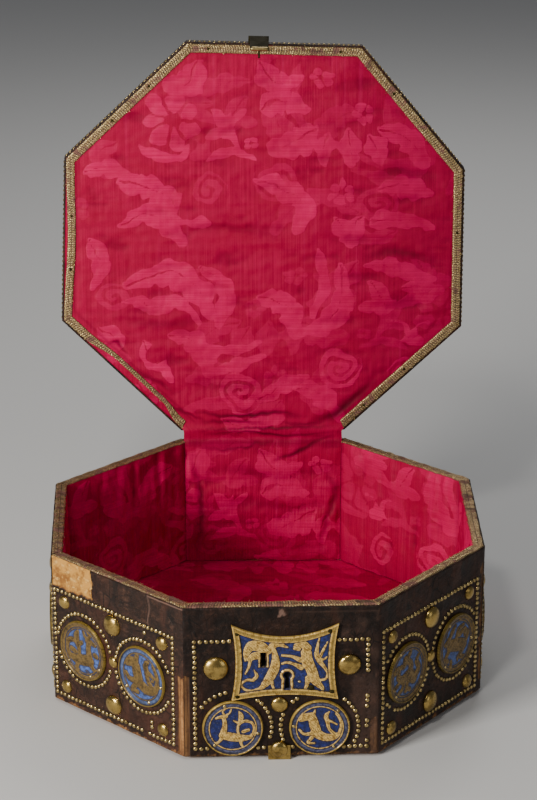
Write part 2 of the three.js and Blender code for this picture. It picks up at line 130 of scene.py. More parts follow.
# Nails of the front: x, y, height and radius
clip_nail = (clip_place, 6.2, 1.5, 6.9)
plate_pin = (14.5, 66.9, 1.8, 1.3)
plate_nails = [
    (-35.1, 110, 2, 2.2), (38.7, 111.2, 2, 2.2), (40.3, 57.6, 2, 2.3),
    (-35, 54.4, 2, 2.2), (23.8, 61.2, 2, 2.6),
]

# Lid's outside
lid_spread = 62
lid_nail_spread = 98
strap_aside = 45
hasp_inner = plate_face + 1.5  # the hasp's inner face, from the leather's face

# Camera, fitted to the photograph's corners
camera_place = (-24.3, -1943.9, 974.1)
camera_down = 20.65
camera_turn = 0.714
camera_lens = 110.84


# Frames

def true_corner(i):
    radius = nominal_side / 2 / math.sin(math.pi / 8)
    angle = (-5 / 8) * math.pi + i * math.pi / 4
    return radius * math.cos(angle), radius * math.sin(angle)


plan = np.array([true_corner(i) for i in range(8)]) + np.array(corner_shift)


def unit(v):
    return v / np.linalg.norm(v)


def outward(i):
    along = unit(plan[(i + 1) % 8] - plan[i % 8])
    return np.array([along[1], -along[0]])


def inset(depth):
    """The plan with every side moved in by the depth."""
    corners = []
    for i in range(8):
        before, after = -outward(i - 1), -outward(i)
        share = depth / (1 + before @ after)
        corners.append(plan[i] + share * (before + after))
    return np.array(corners)


def side_width(i, depth=0):
    ring = inset(depth)
    return np.linalg.norm(ring[(i + 1) % 8] - ring[i])


def on_side(i, x, y, z):
    """Metres in the row frame for millimetres in side i's own frame."""
    x, y, z = np.broadcast_arrays(*(np.asarray(value, dtype=float) for value in (x, y, z)))
    along = unit(plan[(i + 1) % 8] - plan[i])
    middle = (plan[i] + plan[(i + 1) % 8]) / 2
    flat = middle + x[..., None] * along + z[..., None] * outward(i)
    return np.concatenate([flat, (y + wall_lift)[..., None]], axis=-1) * MM


on_front = partial(on_side, 0)
hinge_y = plan[BACK][1] + hinge_axis_out
hinge_z = wall_lift + hinge_axis_up


def opened(points):
    """Points of the shut lid, turned to where they are with the lid open."""
    angle = -math.radians(open_angle)
    c, s = math.cos(angle), math.sin(angle)
    y = points[..., 1] - hinge_y * MM
    z = points[..., 2] - hinge_z * MM
    return np.stack([points[..., 0], hinge_y * MM + c * y - s * z, hinge_z * MM + s * y + c * z], axis=-1)


def on_lid_side(i, x, y, z):
    return opened(on_side(i, x, y, z))


def on_lid_top(x, y, z):
    x, y, z = np.broadcast_arrays(*(np.asarray(value, dtype=float) for value in (x, y, z)))
    return opened(np.stack([x, y, wall_lift + lid_top + z], axis=-1) * MM)


# Meshes

def grid_faces(rows, cols, flip=False):
    index = np.arange(rows * cols).reshape(rows, cols)
    corners = [index[:-1, :-1], index[:-1, 1:], index[1:, 1:], index[1:, :-1]]
    return np.stack(corners[::-1] if flip else corners, axis=-1).reshape(-1, 4).tolist()


def make(name, points, faces, look, body, uv=None, values=None):
    """A smooth mesh that rides on a body, with its flat coordinates and its named values at each point."""
    mesh = bpy.data.meshes.new(name)
    mesh.from_pydata(np.reshape(points, (-1, 3)).tolist(), [], faces)
    mesh.polygons.foreach_set("use_smooth", np.ones(len(mesh.polygons), dtype=bool))
    if uv is not None:
        corner = np.empty(len(mesh.loops), dtype=np.int32)
        mesh.loops.foreach_get("vertex_index", corner)
        layer = mesh.uv_layers.new(name="flat")
        layer.data.foreach_set("uv", (np.reshape(uv, (-1, 2)) * MM)[corner].astype(np.float32).ravel())
    for key, value in (values or {}).items():
        held = mesh.attributes.new(key, "FLOAT", "POINT")
        held.data.foreach_set("value", np.ravel(value).astype(np.float32))
    mesh.materials.append(look)
    mesh.update()
    piece = bpy.data.objects.new(name, mesh)
    bpy.context.scene.collection.objects.link(piece)
    if body:
        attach(piece, body)
    return piece


def make_grid(name, points, look, body, uv=None, values=None, flip=False):
    return make(name, points, grid_faces(*points.shape[:2], flip), look, body, uv, values)


class Bag:
    """Grids and small shapes gathered to become one mesh."""

    def __init__(self):
        self.points, self.faces, self.uv, self.values, self.count = [], [], [], {}, 0

    def add(self, points, faces, uv=None, values=None):
        points = np.reshape(points, (-1, 3))
        self.faces.extend([corner + self.count for corner in face] for face in faces)
        self.points.append(points)
        self.uv.append(np.zeros((len(points), 2)) if uv is None else np.reshape(uv, (-1, 2)))
        for key, value in (values or {}).items():
            self.values.setdefault(key, []).append(np.ravel(value))
        self.count += len(points)

    def add_grid(self, points, uv=None, values=None, flip=False):
        self.add(points, grid_faces(*points.shape[:2], flip), uv, values)

    def make(self, name, look, body):
        points, uv = np.concatenate(self.points), np.concatenate(self.uv)
        values = {key: np.concatenate(value) for key, value in self.values.items()}
        return make(name, points, self.faces, look, body, uv, values)


# Noise and shapes as formulas

def ripple(x, y, size, seed, waves=14):
    """Soft unevenness of about the size, from -1 to 1."""
    rng = np.random.default_rng(seed)
    angles, shares, phases = (rng.uniform(*span, waves) for span in ((0, TAU), (0.6, 1.6), (0, TAU)))
    total = np.zeros(np.broadcast(x, y).shape)
    for angle, share, phase in zip(angles, shares, phases):
        wave = TAU / (size * share)
        total += np.sin(wave * (x * math.cos(angle) + y * math.sin(angle)) + phase)
    return total / math.sqrt(waves) / 1.5


def step(value, low, high):
    t = np.clip((value - low) / (high - low), 0, 1)
    return t * t * (3 - 2 * t)


def bump(value, middle, half):
    return np.exp(-(((value - middle) / half) ** 2))


def smooth_path(points, steps=5):
    """A smooth line through points of any number of numbers each."""
    points = np.asarray(points, dtype=float)
    if len(points) < 3:
        return points
    padded = np.concatenate([2 * points[:1] - points[1:2], points, 2 * points[-1:] - points[-2:-1]])
    path = []
    for i in range(1, len(padded) - 2):
        a, b, c, d = padded[i - 1 : i + 3]
        for t in np.arange(steps) / steps:
            bend = (2 * a - 5 * b + 4 * c - d) * t**2 + (3 * b - a - 3 * c + d) * t**3
            path.append(0.5 * (2 * b + (c - a) * t + bend))
    return np.array([*path, points[-1]])


def stroke_distance(x, y, strokes):
    """Distance outside the nearest tapered stroke. Each stroke is a list of (x, y, half width)."""
    nearest = np.full(np.broadcast(x, y).shape, 99.0)
    for points in strokes:
        path = smooth_path(points)
        for (ax, ay, ar), (bx, by, br) in zip(path[:-1], path[1:]):
            dx, dy = bx - ax, by - ay
            t = np.clip(((x - ax) * dx + (y - ay) * dy) / (dx * dx + dy * dy + 1e-9), 0, 1)
            nearest = np.minimum(nearest, np.hypot(x - ax - t * dx, y - ay - t * dy) - ar - t * (br - ar))
    return nearest


def disc_grid(cells):
    """A square grid drawn out to a disc of radius 1."""
    a, b = np.meshgrid(np.linspace(-1, 1, cells), np.linspace(-1, 1, cells))
    steep = np.abs(b) > np.abs(a)
    radius = np.where(steep, b, a)
    safe = np.where(radius == 0, 1, radius)
    angle = np.where(steep, math.pi / 2 - math.pi / 4 * a / safe, math.pi / 4 * b / safe)
    return radius * np.cos(angle), radius * np.sin(angle)


def dome_shape(segments, rows, share):
    """A dome of radius 1 standing on Z 0, with a straight foot below it."""
    points, faces = [], []
    levels = [(1.0, -0.3)]
    for k in range(rows):
        turn = k / rows * math.pi / 2
        levels.append((math.cos(turn), share * math.sin(turn)))
    for radius, height in levels:
        for k in range(segments):
            turn = TAU * k / segments
            points.append((radius * math.cos(turn), radius * math.sin(turn), height))
    for row in range(len(levels) - 1):
        for k in range(segments):
            near, far = row * segments + k, row * segments + (k + 1) % segments
            faces.append((near, far, far + segments, near + segments))
    top = len(points)
    points.append((0, 0, share))
    last = (len(levels) - 1) * segments
    faces.extend((last + k, last + (k + 1) % segments, top) for k in range(segments))
    return np.array(points), faces


def domes(name, places, to_world, look, body, segments=12, rows=3, share=tack_height / tack_radius, seed=1):
    """Domes at (x, y, z, radius) places in a frame, a little uneven, as one mesh."""
    shape, faces = dome_shape(segments, rows, share)
    rng = np.random.default_rng(seed)
    bag = Bag()
    for x, y, z, radius in places:
        lean = rng.normal(0, 0.05, 2)
        local = shape * radius * rng.uniform(0.94, 1.05)
        local[:, 2] += local[:, 0] * lean[0] + local[:, 1] * lean[1]
        bag.add(to_world(x + local[:, 0], y + local[:, 1], z + local[:, 2]), faces)
    return bag.make(name, look, body)


# Materials

class Look:
    """A material, with short calls for its nodes."""

    def __init__(self, name, flat=True, **settings):
        self.flat = flat
        self.material = bpy.data.materials.new(name)
        self.material.use_nodes = True
        self.tree = self.material.node_tree
        self.shader = self.tree.nodes["Principled BSDF"]
        for key, value in settings.items():
            self.shader.inputs[key.replace("_", " ")].default_value = value

    def join(self, value, socket):
        if isinstance(value, bpy.types.NodeSocket):
            self.tree.links.new(value, socket)
        else:
            socket.default_value = value

    def node(self, kind, inputs, **settings):
        made = self.tree.nodes.new(kind)
        for key, value in settings.items():
            setattr(made, key, value)
        for key, value in inputs.items():
            self.join(value, made.inputs[key])
        return made

    def value(self, name):
        return self.node("ShaderNodeAttribute", {}, attribute_name=name).outputs["Fac"]

    def place(self, scale=(1, 1, 1)):
        """The flat coordinates, or the object's own, drawn out by the scale."""
        source = self.node("ShaderNodeTexCoord", {}).outputs["UV" if self.flat else "Object"]
        return self.node("ShaderNodeMapping", {"Vector": source, "Scale": scale}).outputs["Vector"]

    def noise(self, place, scale, detail=3, rough=0.55, warp=0.0):
        if isinstance(place, tuple):
            place = self.place(place)
        settings = {"Vector": place, "Scale": scale, "Detail": detail, "Roughness": rough, "Distortion": warp}
        return self.node("ShaderNodeTexNoise", settings).outputs["Fac"]

    def cells(self, place, scale, feature="F1"):
        made = self.node("ShaderNodeTexVoronoi", {"Vector": place, "Scale": scale}, feature=feature)
        return made.outputs["Distance"]

    def wave(self, place, scale, warp, direction, **more):
        inputs = {"Vector": place, "Scale": scale, "Distortion": warp, **more}
        return self.node("ShaderNodeTexWave", inputs, bands_direction=direction).outputs["Fac"]

    def span(self, value, low, high, to_low=0.0, to_high=1.0):
        numbers = {"Value": value, "From Min": low, "From Max": high, "To Min": to_low, "To Max": to_high}
        return self.node("ShaderNodeMapRange", numbers, interpolation_type="SMOOTHSTEP").outputs["Result"]

    def math(self, operation, a, b=0.0):
        return self.node("ShaderNodeMath", {0: a, 1: b}, operation=operation).outputs[0]

    def mix(self, share, a, b):
        made = self.node("ShaderNodeMix", {}, data_type="RGBA")
        for value, socket in ((share, made.inputs[0]), (a, made.inputs[6]), (b, made.inputs[7])):
            single = isinstance(value, (float, int, bpy.types.NodeSocket))
            self.join(value if single else (*value, 1.0), socket)
        return made.outputs[2]

    def tint(self, colour, other, value, low, high, most=1.0):
        """The colour, turned to the other one by up to the most where the value passes from low to high."""
        return self.mix(self.span(value, low, high, 0.0, most), colour, other)

    def set(self, key, value):
        self.join(value, self.shader.inputs[key])

    def bumps(self, *layers):
        """Each layer is (height, strength, depth in metres)."""
        normal = None
        for height, strength, depth in layers:
            inputs = {"Height": height, "Strength": strength, "Distance": depth}
            if normal is not None:
                inputs["Normal"] = normal
            normal = self.node("ShaderNodeBump", inputs).outputs["Normal"]
        self.set("Normal", normal)


def silk_look():
    look = Look("crimson_silk", Sheen_Weight=0.12, Sheen_Roughness=0.3, Specular_IOR_Level=0.1)
    look.shader.inputs["Sheen Tint"].default_value = (1.0, 0.05, 0.18, 1.0)
    warp = look.noise((1100, 10, 1), 1.0, detail=3)
    weft = look.noise((16, 1300, 1), 1.0, detail=2)
    cloud = look.noise((1, 1.7, 1), 20, detail=4)
    faint = look.span(look.value("faint"), -0.6, 0.6, 0.0, 0.45)
    satin = look.math("MAXIMUM", look.span(look.value("satin"), -0.4, 0.4), faint)
    patches = look.span(look.noise(look.place(), 25, detail=2), 0.3, 0.7, 0.65, 1.0)
    satin = look.math("MULTIPLY", satin, patches)
    ground = look.mix(look.span(warp, 0.35, 0.7), (0.33, 0.0003, 0.034), (0.44, 0.0008, 0.05))
    raised = look.mix(look.span(weft, 0.3, 0.7), (0.54, 0.001, 0.072), (0.7, 0.003, 0.11))
    colour = look.mix(satin, ground, raised)
    colour = look.tint(colour, (0.33, 0.001, 0.024), cloud, 0.4, 0.72, 0.35)
    streak = look.span(look.noise((150, 4, 1), 1.0, detail=3), 0.56, 0.74, 0.0, 0.22)
    colour = look.mix(streak, colour, (0.66, 0.008, 0.12))
    colour = look.mix(look.value("shade"), colour, (0.045, 0.0, 0.004))
    look.set("Base Color", colour)
    look.set("Roughness", look.span(satin, 0.0, 1.0, 0.55, 0.36))
    ribs = look.wave(look.place(), 380.0, 1.6, "Y")
    threads = look.wave(look.place(), 480.0, 0.8, "X")
    look.bumps((ribs, 0.3, 0.0003), (threads, 0.12, 0.0002), (satin, 0.6, 0.0003), (warp, 0.2, 0.0004))
    return look.material


def leather_look():
    look = Look("dark_leather", Specular_IOR_Level=0.2)
    place = look.place()
    deep = look.noise((1, 1, 1), 45, detail=6, rough=0.66)
    wide = look.noise((0.8, 1, 1), 16, detail=4)
    grain = look.cells(place, 1300)
    scuff = look.noise((24, 34, 1), 4, detail=8, rough=0.8)
    stain = look.noise((34, 7, 1), 1.6, detail=6, rough=0.7)
    crack = look.cells(look.place((1, 0.6, 1)), 110, "DISTANCE_TO_EDGE")
    colour = look.mix(look.span(deep, 0.36, 0.66), (0.008, 0.004, 0.0025), (0.036, 0.016, 0.01))
    colour = look.tint(colour, (0.06, 0.019, 0.01), wide, 0.48, 0.68, 0.7)
    colour = look.tint(colour, (0.12, 0.055, 0.033), scuff, 0.5, 0.66, 0.5)
    colour = look.tint(colour, (0.07, 0.024, 0.013), stain, 0.52, 0.66, 0.6)
    colour = look.tint(colour, (0.006, 0.004, 0.003), stain, 0.46, 0.34, 0.7)
    crack_line = look.math("MULTIPLY", look.span(crack, 0.0, 0.05, 1.0, 0.0), look.span(deep, 0.46, 0.58))
    colour = look.mix(crack_line, colour, (0.003, 0.002, 0.0015))
    fibre = look.noise((420, 16, 1), 1.0, detail=5)
    blotch = look.noise(place, 75, detail=6, rough=0.65)
    bare = look.mix(look.span(fibre, 0.32, 0.68), (0.09, 0.034, 0.012), (0.44, 0.21, 0.075))
    bare = look.tint(bare, (0.09, 0.032, 0.014), blotch, 0.46, 0.64, 0.75)
    ochre = look.mix(look.span(blotch, 0.4, 0.6), (0.55, 0.27, 0.055), (0.25, 0.1, 0.022))
    ochre = look.tint(ochre, (0.68, 0.42, 0.13), look.noise(place, 210, detail=4), 0.53, 0.66, 0.75)
    bare = look.mix(look.value("ochre"), bare, ochre)
    bare_share = look.value("bare")
    colour = look.mix(bare_share, colour, bare)
    # Pale and dark hold real marks and also painted highlights on ridges and painted shade round tacks, along
    # a cut edge and over the whole front.
    colour = look.mix(look.value("pale"), colour, (0.3, 0.17, 0.125))
    colour = look.mix(look.value("dark"), colour, (0.003, 0.002, 0.0015))
    look.set("Base Color", colour)
    rough = look.math("ADD", look.span(deep, 0.3, 0.7, 0.36, 0.62), look.math("MULTIPLY", bare_share, 0.25))
    look.set("Roughness", rough)
    fine = (grain, 0.35, 0.0004), (crack_line, -0.8, 0.001), (scuff, 0.6, 0.001), (fibre, 0.15, 0.0003)
    look.bumps((deep, 0.9, 0.003), *fine)
    return look.material


def wood_look():
    look = Look("bare_wood", flat=False, Roughness=0.75)
    place = look.place((1, 1, 14))
    grain = look.noise((14, 14, 160), 2.5, detail=5, warp=0.4)
    blotch = look.noise(place, 9, detail=3)
    colour = look.mix(look.span(grain, 0.35, 0.68), (0.16, 0.07, 0.026), (0.42, 0.21, 0.085))
    colour = look.tint(colour, (0.1, 0.045, 0.02), blotch, 0.5, 0.75, 0.5)
    look.set("Base Color", colour)
    look.bumps((grain, 0.4, 0.0008))
    return look.material


def brass_look(name, dark, light, rough=0.3, metal=1.0):
    look = Look(name, flat=False, Metallic=metal, Specular_IOR_Level=0.05 + 0.45 * metal)
    place = look.place()
    patina = look.noise(place, 110, detail=6, rough=0.7)
    fine = look.noise(place, 800, detail=3)
    colour = look.mix(look.span(patina, 0.42, 0.68, 0.0, 0.75), light, dark)
    colour = look.tint(colour, [0.4 * c for c in dark], fine, 0.57, 0.72, 0.45)
    look.set("Base Color", colour)
    look.set("Roughness", look.span(patina, 0.38, 0.65, rough, rough + 0.2))
    look.bumps((patina, 0.3, 0.0006), (fine, 0.25, 0.0002))
    return look.material


def braid_look():
    look = Look("gold_braid", flat=False, Specular_IOR_Level=0.4)
    place = look.place()
    speck = look.noise(place, 1000, detail=2)
    wear = look.noise(place, 130, detail=5)
    metal = look.mix(look.span(speck, 0.38, 0.66), (0.24, 0.155, 0.05), (0.85, 0.64, 0.31))
    core = look.mix(look.span(wear, 0.42, 0.6), (0.1, 0.05, 0.026), (0.23, 0.1, 0.07))
    core = look.tint(core, (0.035, 0.018, 0.01), speck, 0.5, 0.7, 0.6)
    # Painted shade: the core turns near black deep in the weave's grooves, where the thread is low.
    core = look.tint(core, (0.018, 0.01, 0.006), look.value("thread"), 0.5, 0.15, 0.85)
    left = look.math("SUBTRACT", look.span(wear, 0.25, 0.75, 1.35, 0.35), look.value("worn"))
    shown = look.math("MULTIPLY", look.span(look.value("thread"), 0.2, 0.62), look.span(left, 0.1, 0.5))
    look.set("Base Color", look.mix(shown, core, metal))
    look.set("Metallic", look.math("MULTIPLY", shown, 0.85))
    look.set("Roughness", look.span(shown, 0.0, 1.0, 0.8, 0.34))
    look.bumps((speck, 0.8, 0.0006))
    return look.material


def enamel_look(name, field, ring, gold_light, gold_dark, wear):
    look = Look(name, Specular_IOR_Level=0.4)
    place = look.place()
    cloud = look.noise(place, 120, detail=5, rough=0.65)
    pit = look.noise(place, 850, detail=3)
    mottle = look.noise(place, 330, detail=5, rough=0.7)
    distance = look.value("gold")
    ragged = look.math("ADD", distance, look.span(mottle, 0.3, 0.7, -0.35, 0.35))
    gold = look.span(ragged, 0.2, -0.15)
    in_ring = look.span(look.value("ring"), 0.2, -0.2)
    glass = look.mix(look.span(cloud, 0.42, 0.6), field, [1.7 * c for c in field])
    glass = look.mix(in_ring, glass, ring)
    glass = look.tint(glass, [0.35 * c for c in field], mottle, 0.42, 0.6, 0.8)
    glass = look.tint(glass, (0.2, 0.19, 0.21), pit, 0.6, 0.7, 0.55)
    metal = look.mix(look.span(mottle, 0.42, 0.66), gold_light, gold_dark)
    worn = look.span(cloud, 0.68 - wear, 0.8 - wear, 0.0, 0.9)
    metal = look.mix(worn, metal, [0.6 * c for c in gold_dark])
    # Dull borders and rims, but for thin lines left bright on them as painted highlights.
    metal = look.mix(look.value("dull"), metal, (0.22, 0.145, 0.02))
    glass = look.mix(look.math("MULTIPLY", worn, 0.8 * wear + 0.25), glass, [0.6 * c for c in gold_dark])
    line = look.math("SINE", look.math("MULTIPLY", distance, 4.4))
    hatch = look.wave(place, 240.0, 4.0, "DIAGONAL", Detail=1.0)
    inside = look.span(distance, -0.7, -1.1)
    cut = look.math("MAXIMUM", look.span(line, 0.55, 0.9), look.span(hatch, 0.34, 0.14, 0.0, 0.8))
    cut = look.math("MULTIPLY", look.math("MULTIPLY", cut, inside), look.span(cloud, 0.42, 0.56, 0.25, 1.0))
    metal = look.mix(look.math("MULTIPLY", cut, 0.85), metal, [0.3 * c for c in gold_dark])
    outline = look.math("MULTIPLY", look.span(distance, -0.25, 0.05), look.span(distance, 1.0, 0.4))
    colour = look.mix(gold, glass, metal)
    colour = look.mix(look.math("MULTIPLY", outline, 0.8), colour, (0.02, 0.014, 0.018))
    # The dark share is painted shade in the lock plate's slot and keyhole, and grime and dark rings
    # elsewhere.
    colour = look.mix(look.value("dark"), colour, (0.0015, 0.001, 0.001))
    look.set("Base Color", colour)
    bright = look.math("MULTIPLY", gold, look.span(look.value("dark"), 0.0, 0.5, 0.5, 0.0))
    look.set("Metallic", bright)
    look.set("Roughness", look.math("MAXIMUM", look.span(mottle, 0.35, 0.65, 0.28, 0.5), look.value("dark")))
    look.bumps((gold, 0.5, 0.0005), (cut, -0.4, 0.0004), (mottle, 0.3, 0.0004), (pit, 0.25, 0.0002))
    return look.material


def floor_look():
    look = Look("pale_floor", Roughness=0.75)
    look.set("Base Color", (0.62, 0.61, 0.59, 1.0))
    return look.material


SILK = silk_look()
LEATHER = leather_look()
WOOD = wood_look()
BRASS = brass_look("aged_brass", (0.075, 0.04, 0.009), (0.48, 0.33, 0.1), 0.19)
TACK_BRASS = brass_look("tack_brass", (0.11, 0.07, 0.02), (0.56, 0.42, 0.18), 0.22)
# Near-black and not metallic, a painted shade that stands in for the dark reflections on the hasp; the
# plate's nails and the lid's brads use it too.
DARK_AND_SHADED_BRASS = brass_look("dark_and_shaded_brass", (0.008, 0.0065, 0.002), (0.03, 0.023, 0.006), 0.7, 0)
BRAID = braid_look()
PLATE_ENAMEL = enamel_look(
    "royal_blue_enamel",
    (0.008, 0.014, 0.09), (0.075, 0.078, 0.14),
    (0.92, 0.6, 0.17), (0.3, 0.155, 0.03), 0.06
)
WORN_ENAMEL = enamel_look(
    "worn_enamel", (0.045, 0.085, 0.25), (0.08, 0.12, 0.25), (0.24, 0.15, 0.045), (0.085, 0.05, 0.016), 0.12
)


# Leather of the sides

def plate_edges(u, v, margin=0.0):
    """The lock plate's four curved edges, at shares of its width and height."""
    x, y = plate_middle
    half_w, half_h = plate_half[0] + margin, plate_half[1] + margin
    dip_u, dip_v = 4 * u * (1 - u), 4 * v * (1 - v)
    left = x - half_w + plate_dip_side * dip_v
    right = x + half_w - plate_dip_side * dip_v
    foot = y - half_h + plate_dip_foot * dip_u
    top = y + half_h - plate_dip_top * dip_u
    return left, right, foot, top


def outside_plate(x, y):
    """How far a point of the front is outside the lock plate. Negative inside."""
    u = np.clip((x - plate_middle[0] + plate_half[0]) / (2 * plate_half[0]), 0, 1)
    v = np.clip((y - plate_middle[1] + plate_half[1]) / (2 * plate_half[1]), 0, 1)
    left, right, foot, top = plate_edges(u, v)
    return np.maximum(np.maximum(left - x, x - right), np.maximum(foot - y, y - top))


def row_points(start, end, pitch=tack_pitch):
    count = max(2, round(math.dist(start, end) / pitch) + 1)
    return [tuple(p) for p in np.linspace(start, end, count)]


def frame_of(i):
    """Left, right, middle, top and mid height of the frame of tacks of a side."""
    half = side_width(i) / 2 - (side_margin if i else frame_margin)
    shift, top = frame_shift[i], frame_top + frame_raise[i]
    return shift - half, shift + half, shift, top, (top + frame_foot) / 2


def ring_points(middle, radius=ring_radius):
    count = round(TAU * radius / tack_pitch)
    turns = [TAU * k / count for k in range(count)]
    return [(middle[0] + radius * math.cos(turn), middle[1] + radius * math.sin(turn)) for turn in turns]


def nails_of(i):
    """(x, y, radius) of the domed nails of a side."""
    if i == 0:
        return front_nails
    left, right, shift, top, middle = frame_of(i)
    aside, up, radius = corner_nail
    corners = [(x, y, radius) for x in (left + aside, right - aside) for y in (frame_foot + up, top - up)]
    column_up, column_radius = column_nail
    column = [(shift, y, column_radius) for y in (top - column_up, frame_foot + column_up)]
    return [*corners, *column, (shift, middle + middle_nail_raise, middle_nail_radius)]


def medallions_of(i):
    _, _, shift, _, middle = frame_of(i)
    if i == 0:
        return front_medallions
    return [(shift + way * medallion_aside, middle + medallion_raise) for way in (-1, 1)]


def tacks_of(i):
    """(kept, lost) places of the tacks of a side."""
    left, right, _, top, _ = frame_of(i)
    left, right, top = left + tack_row / 2, right - tack_row / 2, top - tack_row / 2
    foot = frame_foot + tack_row / 2
    rows = [*row_points((left, top), (right, top)), *row_points((left, foot), (right, foot))]
    rows += row_points((left, top), (left, foot))[1:-1] + row_points((right, top), (right, foot))[1:-1]
    disc_radius = medallion_radius if i else front_medallion_radius
    for middle in medallions_of(i):
        rows += ring_points(middle, ring_radius if i else front_ring_radius)
    for start, end in spurs.get(i, []):
        rows += row_points(start, end)
    kept, lost = [], []
    rng = np.random.default_rng(40 + i)
    for x, y in rows:
        near = any(math.dist((x, y), place) < tack_radius * 2 for place in kept)
        on_medallion = any(math.dist((x, y), m) < disc_radius + tack_radius for m in medallions_of(i))
        on_nail = any(math.dist((x, y), n[:2]) < n[2] + 0.6 * tack_radius for n in nails_of(i))
        outside = not left - 0.5 < x < right + 0.5 or not foot - 0.5 < y < top + 6.5
        on_plate = i == 0 and outside_plate(x, y) < tack_radius
        on_clip = i == 0 and abs(x - clip_place) < clip_half + 1.5 and y < 12.5
        if near or on_medallion or on_nail or outside or on_plate or on_clip:
            continue
        gone = i == 0 and x > right - 2 and any(low < y < high for low, high in front_gaps)
        if gone or rng.random() < 0.012:
            lost.append((x, y))
        else:
            kept.append((x + rng.normal(0, 0.16), y + rng.normal(0, 0.16)))
    return kept, lost


class WearAndPaintedLight:
    """Height of a side's leather, and its shares of bare, pale, dark and ochre, at the points of a grid. Pale
    and dark hold painted highlights and shade as well as real marks.
    """

    def __init__(self, i, x, y):
        self.x, self.y = x, y
        self.rough_x = x + 1.6 * ripple(x, y, 9, 300 + i) + 0.8 * ripple(x, y, 3.5, 310 + i)
        self.rough_y = y + 1.6 * ripple(x, y, 8, 320 + i) + 0.8 * ripple(x, y, 3, 330 + i)
        self.height = 0.16 * ripple(x, y, 34, 340 + i) + 0.07 * ripple(x, y, 9, 350 + i)
        self.height += 0.05 * ripple(x, y, 4, 355 + i)
        self.marks = {key: np.zeros_like(x) for key in ("bare", "pale", "dark", "ochre")}

    def mark(self, key, share):
        self.marks[key] = np.maximum(self.marks[key], share)

    def bare_corner(self, distance, low, high, most=1):
        """Bare wood where the distance is above 0, between two heights."""
        between = step(self.rough_y, low - 1, low) * step(-self.rough_y, -high - 1, -high)
        self.mark("bare", most * step(distance, 0, 0.9) * between)


def front_wear_and_painted_shade(wear):
    x, y, rough_x, rough_y = wear.x, wear.y, wear.rough_x, wear.rough_y
    # Painted shade: the whole front is darkened by half.
    wear.mark("dark", 0.5)
    wear.bare_corner(-73.6 - x, -9, 71)
    wear.bare_corner(rough_x - 71.5, -9, 31, 0.6)
    tan = step(rough_x, 52, 60) * step(-rough_y, -80, -60) * step(rough_x, 0, 1)
    wear.mark("pale", 0.16 * tan + 0.14 * step(ripple(x, y, 20, 15), 0.2, 1.0) * step(x, 44, 50))
    wear.mark("pale", step(3.2 - np.hypot(rough_x - 0.2, (rough_y - 127) * 0.8), 0, 1.2))
    wear.height += 0.35 * bump(y, 127.6 + 0.4 * ripple(x, y, 30, 7), 0.7) * step(x, 8, 16)
    wear.height += 0.3 * bump(y, 130, 0.8)
    wear.mark("pale", 0.25 * bump(y, 127.2, 0.5) * step(x, 8, 16))
    for nail_x, nail_y, radius in front_nails[:2]:
        wear.height -= 0.18 * bump(np.hypot(x - nail_x, y - nail_y) - radius - 4.5, 0, 0.8)


def front_left_wear_and_painted_light(wear):
    x, y, rough_x = wear.x, wear.y, wear.rough_x
    patch = step(-27.4 - rough_x, 0, 0.8) * step(wear.rough_y, 105.4, 106.6)
    wear.mark("bare", patch)
    wear.mark("ochre", patch)
    wear.height += 0.5 * bump(rough_x, -25.8, 1.0) * step(y, 104, 107)
    # Painted shadow along the leather's cut edge beside the bare patch.
    wear.mark("dark", 0.8 * bump(rough_x, -26.8, 0.7) * step(y, 106, 108))
    wear.bare_corner(x - 69.6, -9, 70)
    crack_x = x - 1.2 * ripple(y, y * 0, 12, 9)
    wear.mark("dark", 0.9 * bump(crack_x, 37, 0.55) * step(y, 100, 106))
    wear.mark("pale", 0.4 * bump(crack_x, 38.2, 0.6) * step(y, 100, 106))
    # A raised ridge, painted pale along its crest: a painted highlight.
    ridge = 0.5 * bump(y, 130.6, 0.6) * step(x, 34, 40)
    wear.height += ridge
    wear.mark("pale", ridge)


def front_right_wear(wear):
    crack_x = wear.x - 1.5 * ripple(wear.y, wear.y * 0, 10, 11)
    wear.mark("dark", 0.8 * bump(crack_x, -8.4, 0.5) * step(wear.y, 111, 115))
    wear.bare_corner(wear.rough_x - 68.5, 12, 118, 0.6)


own_wear_and_painted_light = {0: front_wear_and_painted_shade, 1: front_right_wear, 7: front_left_wear_and_painted_light}


def cover_wear_and_painted_light(i, x, y, kept, lost):
    """The leather of a side, with what its lost tacks, its edges and its age have left on it, painted shade
    round its kept tacks, and the near sides' own marks, painted shade and highlights among them.
    """
    half = side_width(i) / 2
    wear = WearAndPaintedLight(i, x, y)
    # Painted shade round each kept tack's head.
    for tack_x, tack_y in kept:
        gap = np.hypot(x - tack_x, y - tack_y) - tack_radius
        wear.mark("dark", 0.75 * step(1.1 - gap, 0, 1.1))
    foot_edge = 1.4 + 0.8 * ripple(x, x * 0, 16, 360 + i)
    wear.mark("bare", 0.75 * step(foot_edge - wear.rough_y, 0, 0.8))
    if i in own_wear_and_painted_light:
        own_wear_and_painted_light[i](wear)
    else:
        worn = ripple(x, y, 26, 370 + i) + 0.7 * ripple(x, y, 7, 380 + i) - 2.15
        wear.mark("bare", 0.7 * step(worn + 1.4 * bump(abs(x), half, 6), 0, 0.3))
    for lost_x, lost_y in lost:
        hole = bump(np.hypot(x - lost_x, y - lost_y), 0, 0.9)
        wear.mark("dark", hole)
        wear.height -= 0.5 * hole
    bare = wear.marks["bare"]
    wear.mark("dark", 0.85 * step(abs(x), half - 1.1, half - 0.3) * step(bare, 0.2, 0.7))
    wear.height -= 0.75 * step(bare, 0.25, 0.75) * step(y, 0, 2)
    wear.height -= 0.5 * step(abs(x), half - 1.5, half)
    if i == 0:
        wear.height = np.where(plate_holes(x, y) < 1.2, -1.1, wear.height)
    wear.height = np.maximum(wear.height, -1.1)
    if i == 0:
        wear.height = np.where(slot_shape(x, y) < 0.5, -slot_depth - 0.3, wear.height)
    return wear


